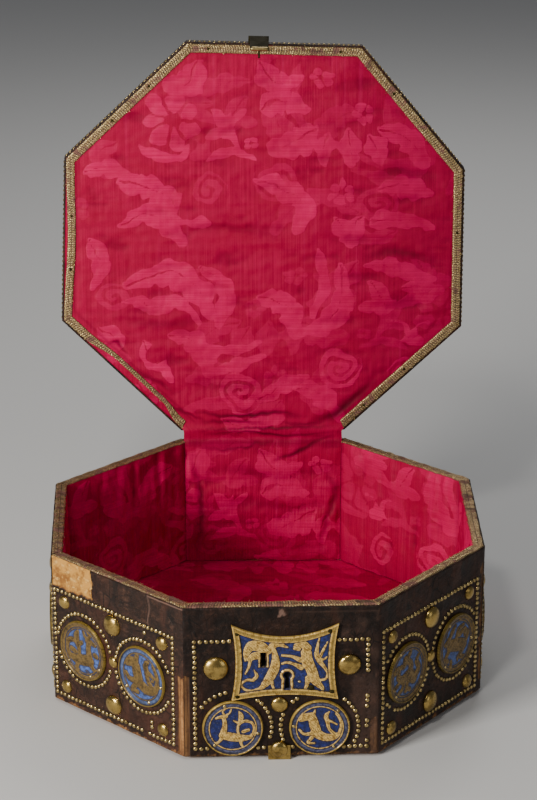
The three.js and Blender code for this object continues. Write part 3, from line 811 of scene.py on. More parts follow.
def leather_cover(i):
    """The leather of a side with its tacks and its domed nails."""
    half = side_width(i) / 2
    pitch, detail = (1.0, (12, 3)) if i in near_sides else (1.8, (8, 2))
    xs = np.linspace(-half, half, int(2 * half / pitch))
    ys = np.linspace(0, wall_height, int(wall_height / pitch))
    x, y = np.meshgrid(xs, np.concatenate([ys[:1], ys, ys[-1:]]))
    kept, lost = tacks_of(i)
    wear = cover_wear_and_painted_light(i, x, y, kept, lost)
    wear.height[0] = wear.height[-1] = -leather_thick
    points = on_side(i, x, y, wear.height)
    name = side_names[i]
    flat = np.stack([x + 200 * i, y], -1)
    cover = make_grid(f"cover_{name}", points, LEATHER, "case", flat, wear.marks)
    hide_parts(f"leather_{name}")
    to_world = partial(on_side, i)
    tacks = [(a, b, 0.05, tack_radius) for a, b in kept]
    domes(f"tacks_{name}", tacks, to_world, TACK_BRASS, "case", *detail, seed=60 + i)
    nails = [(a, b, 0, radius) for a, b, radius in nails_of(i)]
    domes(f"domed_nails_{name}", nails, to_world, BRASS, "case", *big_dome, 70 + i)


# Enamels

# Each beast is a list of tapered strokes, and each stroke of (x, y, half width)
stag = [
    [(-7.6, -6.1, 3.6), (0.2, -7.6, 3.8), (7.9, -8.6, 3), (14, -8, 1.6)],
    [(-7.4, -4, 2.8), (-6.3, 4, 1.7), (-7.2, 10.2, 1.6)],
    [(-5.6, 11.2, 1.7), (-10.5, 10.4, 1.3), (-13.4, 9.4, 0.8)],
    [(-6.7, 12.5, 0.8), (-8, 15.4, 0.7), (-6, 17.4, 0.5)],
    [(-5.6, 12, 0.8), (-2.6, 14, 0.7), (-1, 17.2, 0.4)],
    [(-8.4, -7.5, 1.7), (-11, -11.6, 1.1), (-13.4, -12.8, 0.9)],
    [(6.2, -9.2, 1.7), (6.6, -13.6, 1.1), (8, -16.6, 0.8)],
    [
        (14.6, -7.8, 1.3), (17.2, -2, 1.1), (16, 4.4, 1.1), (10.5, 6.8, 1.2),
        (5.6, 4.4, 1.1), (4, -1, 1), (5, -6, 1),
    ],
    [(5.6, 5.2, 1.1), (6.8, 11, 2), (5.2, 15.6, 0.4)],
    [(4, 5.4, 1.1), (0.8, 7.2, 0.7)],
    [(8.4, -2.8, 1.4), (12.6, -1.4, 1.3)],
]
crouching_beast = [
    [(-12.4, 9.6, 3.2), (-6.6, 10.6, 3.2)],
    [(-15.4, 7, 1.5), (-13, 8, 2)],
    [(-4.6, 13, 1.2), (-3.6, 16.4, 0.5)],
    [(-5.6, 7.4, 3.6), (-4, 1, 4), (-2.4, -4, 4)],
    [(-3.6, -4.4, 4), (3.7, -8.6, 3.5), (10.8, -8.8, 2.8), (15, -6.4, 1.8)],
    [(-6, -5.4, 1.8), (-12.6, -5.4, 1.2), (-16.4, -1.6, 1)],
    [(-6.4, -9, 1.6), (-9.4, -13.6, 1.1), (-4, -14, 0.8)],
    [(15.4, -6, 1.2), (17.2, 1, 1), (16.2, 7.4, 1), (12.8, 12.4, 0.6)],
    [(11.8, -6, 1.5), (7.6, -1, 1.2), (6, 6, 1.6), (5, 10.6, 1.7), (7.6, 14.2, 0.5)],
    [(6, 6.6, 1.1), (10, 5, 0.9), (13.6, 2.6, 0.7)],
]
curling_bird = [
    [(-8, -8, 3.2), (-2, -3, 4.4), (6, -4, 3)],
    [(-2, -2, 2.6), (-4, 5, 1.9), (1, 10, 1.9), (6, 7, 1.4), (8.5, 8, 0.7)],
    [(6, -4, 2.4), (12, 0, 1.6), (11, 7, 1), (14.5, 8, 0.8)],
    [(-9, -7, 2.4), (-14, -1, 1.6), (-11, 6, 1.2), (-14, 10, 0.7)],
    [(-1, -6, 1.3), (1, -12, 1), (-3, -15.5, 0.8)],
    [(4, -6, 1.3), (7, -12, 1), (11, -13, 0.8)],
    [(0, 12, 1), (-3, 16, 1.2)],
]
winged_beast = [
    [(-3, -10, 3.6), (0, -2, 4), (-4, 5, 3)],
    [(-4, 6, 2.6), (-8, 11, 2.4), (-12, 9.5, 1.2)],
    [(0, -1, 2.4), (7, 6, 2.8), (13, 10, 1.2)],
    [(2, 2, 1.6), (8, 12, 1.4), (9, 16.5, 0.5)],
    [(-4, -1, 1.8), (-10, -1, 1.2), (-14, 2.5, 0.9)],
    [(-5, -11, 2), (-9, -15, 1), (-12, -13.5, 0.8)],
    [(0, -12, 2), (4, -17, 1), (7.5, -15.5, 0.8)],
    [(2, -8, 1.4), (10, -10, 1.2), (14, -4, 1.1), (10, 0, 1)],
]
running_hare = [
    [(-8, 1, 4), (3, -2, 4.6), (9, -4, 4)],
    [(-11, 5, 2.8), (-14.5, 4, 1.4)],
    [(-10, 7, 1.2), (-5, 13, 1.4), (-2, 16, 0.5)],
    [(-9, -2, 1.6), (-14, -8, 1.1), (-11, -12, 0.8)],
    [(9, -6, 2.4), (5, -12, 1.3), (10, -15, 0.9)],
    [(12, -2, 1.3), (15.5, 4, 1.1), (9, 8, 1.2), (4, 6, 1)],
    [(0, 5, 1), (3, 11, 1.5), (9, 13, 0.8)],
]
griffin = [
    [(-7.6, 98.6, 2.6), (-2.3, 100.4, 2.2), (4.8, 97.4, 0.7)],
    [(-4.6, 101, 1.4), (-3.4, 104, 0.5)],
    [
        (-7, 97, 2.2), (-5.6, 92.6, 2.1), (-4.6, 86.4, 3.1),
        (-5.6, 78.6, 3.9), (-10.4, 68.8, 3.6), (-15.7, 61.8, 1.9),
    ],
    [(-11, 95, 3.6), (-18.2, 99, 4.6), (-24.4, 98.6, 4), (-27.8, 92.6, 2.5), (-28.6, 86.4, 0.9)],
    [(-14.6, 90.6, 3.6), (-21.6, 90.2, 3.2), (-26, 87, 1.6)],
    [(-24.4, 87.4, 1.3), (-26, 80.5, 1), (-28.6, 74.4, 0.5)],
    [
        (-16.6, 61, 1.5), (-23.6, 59.2, 1.1), (-29.8, 61, 1),
        (-32, 65.4, 1), (-28, 68.8, 1), (-22.4, 68.8, 1.3),
    ],
    [(-22.4, 68.8, 1.3), (-19.6, 72.6, 1.4), (-21.6, 77.6, 0.4)],
    [(-16, 62, 1.8), (-18.4, 58.4, 1.1), (-14, 56.8, 0.8)],
    [(-8, 68, 1.6), (-6.8, 62.8, 1), (-4.6, 58.4, 0.9), (-1.6, 57.4, 0.6)],
]
lion = [
    [(11.6, 98.6, 2), (16.8, 100, 3.2), (20.4, 96.4, 3.6)],
    [(10.4, 96, 1.1), (14, 95.6, 1.6)],
    [(19.8, 92.3, 4.2), (20.8, 84.5, 4.6), (24.2, 76.6, 4.2), (26.2, 69.4, 4.2), (30.2, 63.4, 2.5)],
    [(15, 86, 2.2), (8.4, 89.2, 1.2), (0.6, 90.2, 0.9)],
    [(15.8, 79.4, 2.4), (10.2, 82.4, 1.3), (5, 84, 1.1), (0.6, 83, 0.8)],
    [(21.4, 69.6, 2.4), (20.2, 62.8, 1.4), (17.8, 58.6, 1.1), (15.2, 58, 0.7)],
    [(29.6, 64.4, 2.7), (33, 60.2, 1.5), (32, 57, 1), (28.8, 56.8, 0.7)],
    [
        (30.4, 67.6, 1), (35.4, 68.8, 1), (37, 73.7, 1), (34.2, 79.6, 1.4),
        (29.9, 85.5, 2), (28, 91.3, 1.7), (28.8, 98.2, 1.1),
    ],
    [(28.8, 98.2, 1.1), (30.4, 105.6, 0.4)],
    [(30.4, 88, 1.3), (33.8, 95.4, 1), (36.8, 101.6, 0.4)],
    [(30.4, 86, 1.2), (34.4, 86.6, 0.9), (37, 89, 0.4)],
]


def medallion(
    name, design, to_world, middle, look, body, cells, nail_angles,
    mirror=False, seed=5, wear=0, size=medallion_radius,
):
    """An enamelled disc with a beast in gold, and the nails on its rim."""
    u, v = disc_grid(cells)
    x, y = u * size, v * size
    scale = front_medallion_radius / size
    radius = np.hypot(x, y)
    from_rim = size - radius
    inner = 0.77 * size
    beast = stroke_distance(scale * (-x if mirror else x), scale * y, design)
    inner_line = np.abs(radius - inner) - 0.45
    gold = np.minimum(np.minimum(from_rim - 1.6, inner_line), np.maximum(beast, radius - inner))
    gold = np.where(from_rim < 0.8, -0.5, gold)
    if wear:
        gold = np.minimum(gold, np.maximum(beast - 0.9, radius - inner))
        gold = np.minimum(gold, 4.3 - 1.2 * wear + 3.4 * ripple(x, y, 13, seed + 3))
    if wear > 1:
        gold = np.minimum(gold, from_rim - 4.6)
    top = 1.5 + 0.75 * step(-from_rim, -2.2, -1.4) + 0.18 * step(-gold, -0.3, 0.3)
    top += 0.06 * ripple(x, y, 9, seed) + 0.22 * np.clip(-gold, 0, 2)
    height = medallion_foot + np.where(from_rim < 0.05, 0.3, top)
    values = {
        "gold": gold,
        "ring": inner + 0.3 - radius,
        "dark": 0.5 * bump(from_rim, 2.4, 0.5),
        # The rim is dull but for a thin line left bright near its edge, a painted highlight.
        "dull": 0.8 * step(-from_rim, -2.1, -1.5) * (1 - bump(from_rim, 1.6, 0.35)),
    }
    points = to_world(x + middle[0], y + middle[1], height)
    piece = make_grid(f"{name}_face", points, look, body, np.stack([x + 60 * seed, y], -1), values)
    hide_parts(name)
    nail_ring = 0.85 * size
    places = []
    for turn in np.radians(nail_angles):
        x, y = middle[0] + nail_ring * math.cos(turn), middle[1] + nail_ring * math.sin(turn)
        places.append((x, y, 1.75, 1.6))
    domes(f"{name}_nails", places, to_world, TACK_BRASS, body, 12, 3, 0.6, seed)


def slot_shape(x, y):
    return np.maximum(abs(x - slot_place[0]) - slot_half[0], abs(y - slot_place[1]) - slot_half[1])


def plate_holes(x, y):
    """Distance outside the slot and the keyhole."""
    return np.minimum(slot_shape(x, y), keyhole_shape(x, y))


def keyhole_shape(x, y):
    round_part = np.hypot(x - keyhole_place[0], y - keyhole_place[1]) - keyhole_radius
    below = keyhole_place[1] - y
    stem = np.maximum(abs(x - keyhole_place[0]) - 1.3 - 0.06 * below, np.maximum(keyhole_foot - y, -below))
    return np.minimum(round_part, stem)


def lock_plate():
    """The enamelled plate with its beasts, its slot, its keyhole and its nails."""
    u, v = np.meshgrid(np.linspace(0, 1, 220), np.linspace(0, 1, 176))
    left, right, foot, top = plate_edges(u, v)
    x = left + u * (right - left)
    y = foot + v * (top - foot)
    from_side = np.minimum(x - left, right - x)
    from_end = np.minimum(y - foot, top - y)
    edge = np.minimum(from_side, from_end)
    keyhole = keyhole_shape(x, y)
    hole = plate_holes(x, y)
    patch = np.maximum(abs(x - slot_place[0]) - 3.9, abs(y - slot_place[1] - 3) - 9.4)
    surround = np.minimum(np.abs(keyhole - 1.9) - 1.0, np.abs(patch + 0.5) - 0.6)
    beasts = np.maximum(stroke_distance(x, y, [*griffin, *lion]), plate_border + 0.6 - edge)
    gold = np.minimum(np.minimum(edge - plate_border, surround), beasts)
    gold = np.where(keyhole < 0.9, np.maximum(gold, 0.9 - keyhole), gold)
    gold = np.where(edge < plate_border - 1.0, -0.5, gold)
    along = np.where(from_side < from_end, y, x)
    beads = bump(edge, 2.3, 0.6) * (0.55 + 0.45 * np.sin(TAU * along / 1.7))
    height = plate_face + 0.7 * step(plate_border - edge, -0.6, 0.4) - 0.45 * beads
    height += 0.22 * step(-gold, -0.3, 0.3) + 0.22 * np.clip(-gold, 0, 2)
    height += 0.35 * bump(keyhole, 1.9, 0.9) + 0.12 * ripple(x, y, 16, 21)
    height = np.where(hole < 0, -1.0, height)
    height = np.where(slot_shape(x, y) < -0.65, -slot_depth, height)
    height = np.where(edge < 0.01, 0.3, height)
    grime = np.maximum(0.75 * beads, 0.55 * bump(edge, plate_border + 0.3, 0.5))
    # Painted highlights: thin lines along the border's two edges are left out of its dull tone.
    painted_highlight_lines = bump(edge, plate_border - 0.7, 0.5) + bump(edge, 0.7, 0.5)
    values = {
        "gold": gold,
        "ring": np.full_like(x, 9.0),
        # The dark share is painted shade inside the slot and the keyhole, and grime along the beads and the
        # border.
        "dark": np.maximum(step(-hole, -0.3, 0.05), grime),
        "dull": np.clip(0.7 * step(plate_border - edge, -0.2, 0.3) * (1 - painted_highlight_lines), 0, 1),
    }
    points = on_front(x, y, height)
    piece = make_grid("lock_plate_face", points, PLATE_ENAMEL, "case", np.stack([x, y], -1), values)
    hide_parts("lock_plate")
    domes("lock_plate_nails", plate_nails, on_front, DARK_AND_SHADED_BRASS, "case", 14, 4, 0.5, 22)
    domes("lock_plate_pin", [plate_pin], on_front, TACK_BRASS, "case", 14, 4, 0.6, 23)
    domes("foot_clip_nail", [clip_nail], on_front, BRASS, "case", *big_dome, 24)


# Silk

# Lobed leaves of the damask: line along the leaf, half width, number of lobes
leaves = [
    ([(-57, 354), (-67, 337), (-88, 332)], 9, 2),
    ([(-113, 281), (-100, 270), (-79, 268), (-68, 278)], 4, 1),
    ([(-131, 246), (-105, 241), (-87, 226), (-57, 206)], 10, 4),
    ([(-131, 206), (-109, 214), (-87, 206), (-76, 187)], 8, 3),
    ([(-162, 252), (-144, 258), (-122, 250)], 7, 2),
    ([(-160, 192), (-149, 170), (-158, 146)], 7, 2),
    ([(-125, 150), (-92, 161), (-66, 150), (-49, 120)], 10, 4),
    ([(-128, 136), (-104, 129), (-80, 134), (-62, 114)], 6, 3),
    ([(-57, 168), (-42, 153), (-36, 131), (-44, 110)], 7, 3),
    ([(-88, 100), (-70, 98), (-57, 85), (-53, 62)], 8, 3),
    ([(-66, 93), (-35, 86), (-7, 94)], 5, 2),
    ([(-53, 62), (-30, 71), (-3, 80)], 5, 2),
    ([(-112, 96), (-104, 78), (-88, 60)], 7, 2),
    ([(46, 293), (29, 281), (8, 276)], 10, 3),
    ([(55, 290), (53, 262)], 8, 1),
    ([(73, 290), (77, 260)], 8, 1),
    ([(92, 288), (105, 264)], 8, 1),
    ([(104, 294), (128, 283), (139, 262)], 10, 2),
    ([(-4, 312), (16, 319), (34, 311)], 8, 3),
    ([(-4, 351), (8, 336), (31, 339)], 9, 2),
    ([(-8, 247), (16, 239), (33, 224), (28, 202)], 9, 3),
    ([(64, 210), (74, 188)], 7, 1),
    ([(85, 210), (76, 188)], 7, 1),
    ([(94, 208), (120, 211), (150, 202)], 6, 2),
    ([(102, 237), (125, 241), (150, 232)], 8, 3),
    ([(90, 166), (116, 165), (152, 155)], 6, 3),
    ([(94, 149), (111, 132), (88, 128)], 8, 2),
    ([(126, 148), (151, 142), (122, 130)], 7, 2),
    ([(68, 168), (70, 136), (56, 113), (30, 104)], 8, 4),
    ([(47, 182), (53, 150), (43, 120)], 5, 2),
    ([(-6, 140), (16, 129), (30, 104)], 10, 3),
    ([(28, 50), (51, 45), (68, 20)], 7, 2),
    ([(-6, 38), (16, 53), (38, 61)], 6, 2),
    ([(116, 112), (134, 98), (148, 111)], 6, 2),
    ([(-152, 112), (-138, 96), (-146, 78)], 7, 2),
    ([(-42, 20), (-14, 13), (12, 22)], 7, 2),
    ([(-32, 309), (-31, 292), (-24, 272), (-8, 264)], 2.2, 1),
    ([(-54, 284), (-38, 293), (-28, 281)], 4, 2),
    ([(-52, 264), (-34, 274), (-18, 268)], 4, 1),
    ([(-46, 309), (-33, 300), (-20, 309)], 4, 1),
]
# Flowers: middle, radius, petals
flowers = [
    (-84, 301, 27, 7), (51, 339, 10, 5), (87, 307, 11, 5),
    (-13, 280, 8, 4), (68, 236, 12, 6), (-112, 44, 15, 6),
]
# Scrolls: middle, radius, turns of the band
scrolls = [(-22, 46, 21, 2.2), (68, 70, 21, 2.4), (128, 62, 15, 1.8), (-150, 318, 16, 1.8), (140, 330, 18, 2)]
# Round bare spots of the ground: middle, radius
eyes = [
    (-67, 224, 12), (-31, 215, 14), (80, 104, 5), (96, 100, 6),
    (118, 104, 7), (146, 105, 5), (32, 173, 7), (-100, 85, 10),
]


def near_path(x, y, points):
    """Distance from a smooth line, and the share of its length where the nearest place is."""
    path = smooth_path(points, 4)
    nearest = np.full(x.shape, 1e6)
    share = np.zeros(x.shape)
    count = len(path) - 1
    for k, (a, b) in enumerate(zip(path[:-1], path[1:])):
        along = b - a
        t = np.clip(((x - a[0]) * along[0] + (y - a[1]) * along[1]) / (along @ along), 0, 1)
        gap = np.hypot(x - a[0] - t * along[0], y - a[1] - t * along[1])
        share = np.where(gap < nearest, (k + t) / count, share)
        nearest = np.minimum(nearest, gap)
    return nearest, share


def leaf(x, y, points, width, lobes):
    """How far inside a lobed leaf a point is, with a vein left bare down the middle."""
    away, share = near_path(x, y, points)
    outline = width * np.sin(math.pi * (0.06 + 0.88 * share)) ** 0.6
    outline *= 0.74 + 0.38 * np.abs(np.sin(math.pi * (lobes + 0.5) * share))
    vein = 0.1 * width * (1 - share)
    return np.minimum(outline - away, 1.6 * (away - vein) + 0.3 if width > 7 else 9)


def flower(x, y, middle_x, middle_y, radius, petals):
    away = np.hypot(x - middle_x, y - middle_y)
    turn = np.abs(np.sin(petals / 2 * np.arctan2(y - middle_y, x - middle_x)))
    between = 2 * away * turn / petals - 0.05 * radius
    return np.minimum(np.minimum(radius * (0.66 + 0.34 * turn**0.5) - away, between), away - 0.24 * radius)


def scroll(x, y, middle_x, middle_y, radius, turns):
    away = np.hypot(x - middle_x, y - middle_y)
    pitch = radius / turns
    band = (away / pitch - np.arctan2(y - middle_y, x - middle_x) / TAU) % 1
    return np.minimum(0.3 * pitch - np.abs(band - 0.5) * pitch, radius - away)


def inside_motif(u, v):
    """How far inside the damask's motif a point is. The pattern repeats."""
    u = (u + 182) % 364 - 182
    v = v % 364
    x = u + 3 * ripple(u, v, 37, 90) + 0.8 * ripple(u, v, 9, 93)
    y = v + 3 * ripple(u, v, 33, 91) + 0.8 * ripple(u, v, 9, 94)
    inside = np.full(u.shape, -9.0)
    for points, width, lobes in leaves:
        inside = np.maximum(inside, leaf(x, y, points, 1.25 * width, lobes))
    for place in flowers:
        inside = np.maximum(inside, flower(x, y, *place))
    for place in scrolls:
        inside = np.maximum(inside, scroll(x, y, *place))
    for middle_x, middle_y, radius in eyes:
        inside = np.minimum(inside, np.hypot(x - middle_x, y - middle_y) - radius)
    return inside


def cloth_values(u, v, shade):
    """How far inside the damask's motif and its fainter one the points are, with their shade."""
    return {"satin": inside_motif(u, v), "faint": inside_motif(77 - u, 1.07 * v + 171), "shade": shade}


def silk_relief(u, v, seed):
    """Soft unevenness of the stretched cloth, mostly wrinkles that run along it."""
    folds = 0.75 * ripple(u, v * 3, 70, seed) + 0.5 * ripple(u * 0.5, v * 1.6, 22, seed + 1)
    fine = 0.3 * ripple(u * 0.4, v * 2.2, 12, seed + 4) * step(ripple(u, v, 60, seed + 5), -0.2, 0.8)
    return folds + fine + 0.14 * ripple(u * 4, v * 0.5, 12, seed + 2) + 0.3 * ripple(u, v, 13, seed + 3)


def in_folds(u, v, lines):
    """Height and shade of folds. Each is a line of (u, v) points, with its width and its depth."""
    height, shade = np.zeros(u.shape), np.zeros(u.shape)
    for points, width, depth in lines:
        bent_u, bent_v = u + 1.5 * ripple(u, v, 20, 95), v + 1.2 * ripple(u, v, 17, 96)
        away, share = near_path(bent_u, bent_v, np.array(points))
        fade = np.sin(math.pi * share) ** 0.8
        valley = fade * np.exp(-((away / width) ** 2))
        height += depth * (0.75 * fade * np.exp(-((away / (3 * width)) ** 2)) - 1.5 * valley)
        shade = np.maximum(shade, min(0.85, 0.55 * depth) * valley)
    return height, shade


def span_at(corners, level):
    """Lowest and highest X of a convex outline at a level of Y."""
    crossings = []
    for a, b in zip(corners, np.roll(corners, -1, axis=0)):
        if abs(b[1] - a[1]) > 1e-6 and min(a[1], b[1]) - 1e-6 <= level <= max(a[1], b[1]) + 1e-6:
            crossings.append(a[0] + (level - a[1]) / (b[1] - a[1]) * (b[0] - a[0]))
    return min(crossings), max(crossings)


# Folds of the silk on the lid and the rear wall: line, width, depth
over_hinge = [(0, 131), (0.6, 137), (5, 139.4), (11, 141.2), (14.8, 142.6)]  # out from the wall, and Z
silk_break = 12  # length along the silk where it reaches the lid
smoothed_rows = (60, 118)  # the rows next to the hinge
hinge_folds = [
    ([(-70, 30), (-44, 24), (-14, 24), (14, 27), (34, 22)], 2, 1.5),
    ([(40, 18), (62, 23), (80, 38), (106, 62)], 4.4, 1.7),
    ([(-58, 4), (-20, 8), (20, 3), (68, 8)], 1.8, 1.3),
    ([(4, -21), (30, -10), (66, 6)], 2, 1.5),
    ([(-68, 17), (-30, 18), (6, 16)], 2.2, 1.2),
    ([(-66, 9), (-20, 11), (30, 12), (66, 14)], 1.6, 1.3),
    ([(-70, -4), (-40, -9), (-4, -3), (24, -7)], 2, 1.1),
    ([(10, 17), (36, 15), (66, 19)], 1.8, 1),
    ([(-100, 42), (-78, 28), (-56, 18)], 2, 1.1),
    ([(-150, 88), (-138, 96), (-126, 82)], 1.8, 1.2),
    ([(-128, 68), (-108, 62), (-82, 44)], 3, 1),
    ([(50, -18), (64, -50), (56, -80), (50, -120)], 3, 0.9),
    ([(-70, -14), (-60, -60), (-66, -124)], 3.4, 1.1),
    ([(-70, -34), (-30, -28), (10, -36), (50, -30)], 5, 0.6),
    ([(-60, -70), (-10, -62), (40, -74)], 6, 0.6),
    ([(84, 173), (118, 180), (160, 168)], 5, 0.9),
    ([(96, 250), (120, 254), (156, 248)], 5, 0.8),
    ([(-90, 198), (-40, 204), (20, 194)], 4, 0.6),
    ([(-80, 60), (-30, 52), (30, 60)], 6, 0.6),
    ([(-140, 120), (-90, 112), (-40, 122)], 5, 0.6),
]


def silk_rows(outline):
    """Y, Z, left, right and length along the silk for each of its rows, and the ways out of it."""
    wall_y = plan[BACK][1] - lining_depth
    middle_x = (plan[BACK][0] + plan[BACK + 1][0]) / 2
    half = side_width(BACK, lining_depth) / 2
    left, right = middle_x - half, middle_x + half
    rows = []
    for z in np.linspace(floor_level + 0.4, 130, 78):
        rows.append((wall_y, z, left + 0.2, right - 0.2, z - 137, (0, -1, 0)))
    turn = smooth_path([(wall_y + out, z) for out, z in over_hinge], 6)
    for k, (y, z) in enumerate(turn[1:-1]):
        lean = math.sin(math.pi * (z - 131) / 11.6)
        rows.append((y, z, left - 0.8, right + 0.8, 0.75 * k - 5.25, (0, -1 + 0.4 * lean, 0.8 * lean)))
    lid_back = outline[BACK][1] - 1.2
    for y in np.linspace(lid_back, min(outline[:, 1]) + 0.05, 250):
        _, open_y, open_z = opened(np.array([0, y, wall_lift + lid_lining_face]) * MM) / MM
        rows.append((open_y, open_z, *span_at(outline, y), lid_back - y + silk_break, (0, -1, 0.035)))
    *numbers, ways = zip(*rows)
    return [np.array(column)[:, None] for column in numbers], np.array(ways)[:, None, :]


def back_and_lid_silk():
    """One piece of silk, from the floor up the rear wall, over the hinge and up the lid."""
    outline = inset(lid_board_edge)
    (y, z, left, right, v), towards = silk_rows(outline)
    x = left + np.linspace(0, 1, 222) * (right - left)
    y, z, v = y + 0 * x, z + 0 * x, v + 0 * x
    on_lid = v > silk_break
    room = np.minimum(x - left, right - x)
    lid_y = outline[BACK][1] - 1.2 + silk_break - v
    side_needs = {5: 5.5, 6: 2.5}
    for i in range(8):
        if i != BACK:
            away = (outline[i][0] - x) * outward(i)[0] + (outline[i][1] - lid_y) * outward(i)[1]
            room = np.where(on_lid, np.minimum(room, away - side_needs.get(i, 0)), room)
    near_hinge = 0.8 * ripple(x * 0.5, v * 3, 30, 106) * bump(v, 14, 26)
    relief = silk_relief(x, v, 101) + near_hinge
    sharp, shade = in_folds(x, v, hinge_folds)
    shade = np.maximum(shade, 0.32 * step(-relief, 0.1, 1.3))
    shade = np.maximum(shade, 0.4 * bump(v, -3, 3))
    shade = np.maximum(shade, 0.3 * bump(room, 7.5, 1.6) * step(v, 12, 20))
    shade = shade + (1 - shade) * 0.26 * step(x, 10, 150) * step(v, 14, 70)
    lift = np.clip(relief + 0.5 + sharp, -1.0, 3.2) * np.where(on_lid, step(room, 7, 15), step(room, 0, 5))
    points = (np.stack([x, y, z], -1) + lift[..., None] * towards) * MM
    low, high = smoothed_rows
    for _ in range(12):
        beside = points[low - 1 : high - 1] + points[low + 1 : high + 1]
        points[low:high] = (beside + 2 * points[low:high]) / 4
    values = cloth_values(x, v, shade)
    piece = make_grid("silk_back_and_lid", points, SILK, None, np.stack([x, v], -1), values)
    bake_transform(piece)
    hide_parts("lining_back_wall", "lid_lining")


def side_wall_silk():
    """One strip of silk round the other seven walls."""
    bag = Bag()
    foot, top = floor_level - wall_lift + 0.4, wall_height
    for i in range(8):
        if i == BACK:
            continue
        width = side_width(i, lining_depth)
        x, y = np.meshgrid(np.linspace(-width / 2, width / 2, 68), np.linspace(foot, top, 58))
        u = x + 150 * i
        room = np.minimum(width / 2 - abs(x), 99)
        lift = silk_relief(y * 1.3, u, 120) + 0.6
        if i in (3, 5):
            lift += 0.9 * ripple(x * 1.3, y * 0.16, 15, 130 + i) + 0.3
        shade = 0.35 * step(0.2 - lift, 0, 1.2)
        lift = np.clip(lift, -0.9, 3) * step(room, 0, 6) * step(top - y, -1, 8)
        shade = np.maximum(shade, 0.35 * bump(room, 0, 2.5))
        values = cloth_values(u + 25, y + 24, shade)
        bag.add_grid(on_side(i, x, y, -lining_depth - lift), np.stack([u, y], -1), values, flip=True)
    piece = bag.make("silk_side_walls", SILK, "case")
    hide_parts("lining_side_walls")


def floor_silk():
    """The octagon of silk on the floor."""
    outline = inset(lining_depth + 0.2)
    low_y, high_y = min(outline[:, 1]) + 0.05, max(outline[:, 1]) - 0.05
    ys = np.linspace(low_y, high_y, 126)
    ends = np.array([span_at(outline, y) for y in ys])
    shares = np.linspace(0, 1, 126)
    x = ends[:, :1] + shares * (ends[:, 1:] - ends[:, :1])
    y = ys[:, None] + 0 * x
    room = np.minimum(np.minimum(x - ends[:, :1], ends[:, 1:] - x), np.minimum(y - low_y, high_y - y))
    lift = silk_relief(x, y, 140) + 0.5
    z = floor_level + np.maximum(lift, 0) * step(room, 0, 6)
    shade = np.maximum(0.3 * step(0.2 - lift, 0, 1.0), 0.5 * bump(room, 0, 2.5))
    points = np.stack([x, y, z], -1) * MM
    values = cloth_values(x + 60, y + 120, shade)
    piece = make_grid("silk_floor", points, SILK, "case", np.stack([x, y + 182], -1), values)
    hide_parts("lining_floor")


# Braid

def woven(s, t):
    """Height of the woven metal thread, from 0 to 1, along and across the band."""
    row = np.abs(t) * 3
    lean = np.where(np.floor(row) % 2 == 0, 1, -1) * 2.6 * (row % 1)
    chevron = np.sin(TAU * (s / 2.3 + 0.33 * np.floor(row)) + lean)
    beads = np.abs(np.sin(math.pi * s / 2.2))
    valley = np.abs(np.sin(math.pi * row)) ** 0.5
    return np.where(row > 2, beads, 0.2 + 0.6 * (0.5 + 0.5 * chevron)) * (0.25 + 0.75 * valley)


def braid_band(bag, to_world, outer, inner, offset, waver, seed, loose, worn):
    """One side's length of braid between two lines, given by their ends, with loose threads at its edges."""
    length = math.dist(outer[0], outer[1])
    start, end = np.array(outer[0]), np.array(outer[1])
    first, last = np.array(inner[0]), np.array(inner[1])

    def flat_place(s, t):
        along = s * length
        edge = 0.5 * ripple(along, 0 * along, 13, seed) + 0.4 * ripple(along, 0 * along, 4, seed + 1)
        narrow, shift = waver(s)
        share = (0.5 + 0.5 * t * (1 + loose * edge) * narrow + shift)[..., None]
        out_line = start + s[..., None] * (end - start)
        return out_line + share * (first + s[..., None] * (last - first) - out_line)

    s, t = np.meshgrid(np.linspace(0, 1, int(length / 0.62)), np.linspace(-1, 1, 17))
    along = s * length
    weave = woven(along + offset, t)
    crown = np.sqrt(np.clip(1 - np.abs(t) ** 6, 0, 1))
    height = (1.0 + 0.5 * weave) * crown + 2.4 * loose * ripple(along, t * 4, 17, seed + 2)
    flat = flat_place(s, t)
    gone = worn + 0.45 * ripple(along, t * 3, 24, seed + 3) + 0.3 * ripple(along, t * 3, 7, seed + 4)
    values = {"thread": weave, "worn": np.clip(gone, 0, 1)}
    bag.add_grid(to_world(flat[..., 0], flat[..., 1], height), np.stack([along, t], -1), values, flip=True)
    rng = np.random.default_rng(seed + 5)
    thread_values = {"thread": np.full(5, 0.8), "worn": np.full(5, 0.2)}
    for _ in range(int(length * (0.35 + 3 * loose))):
        share = rng.uniform(0.01, 0.99)
        side = rng.choice([-1, 1]) * rng.uniform(0.6, 1)
        root = flat_place(np.array(share), np.array(side))
        turn = rng.uniform(0, TAU)
        way = np.array([math.cos(turn), math.sin(turn)])
        across = np.array([-way[1], way[0]]) * 0.11
        reach = rng.uniform(0.8, 2.4)
        tip = root + reach * way + rng.uniform(-0.5, 0.5) * across * 10
        middle = (root + tip) / 2 + rng.uniform(-3, 3) * across
        hair = np.array([root - across, root + across, middle + across, middle - across, tip])
        levels = np.array([1.1, 1.1, 1.5, 1.5, rng.uniform(0.9, 2.0)])
        faces = [(0, 1, 2, 3), (3, 2, 4)]
        bag.add(to_world(hair[:, 0], hair[:, 1], levels), faces, values=thread_values)


def steady(s):
    return np.ones_like(s), np.zeros_like(s)


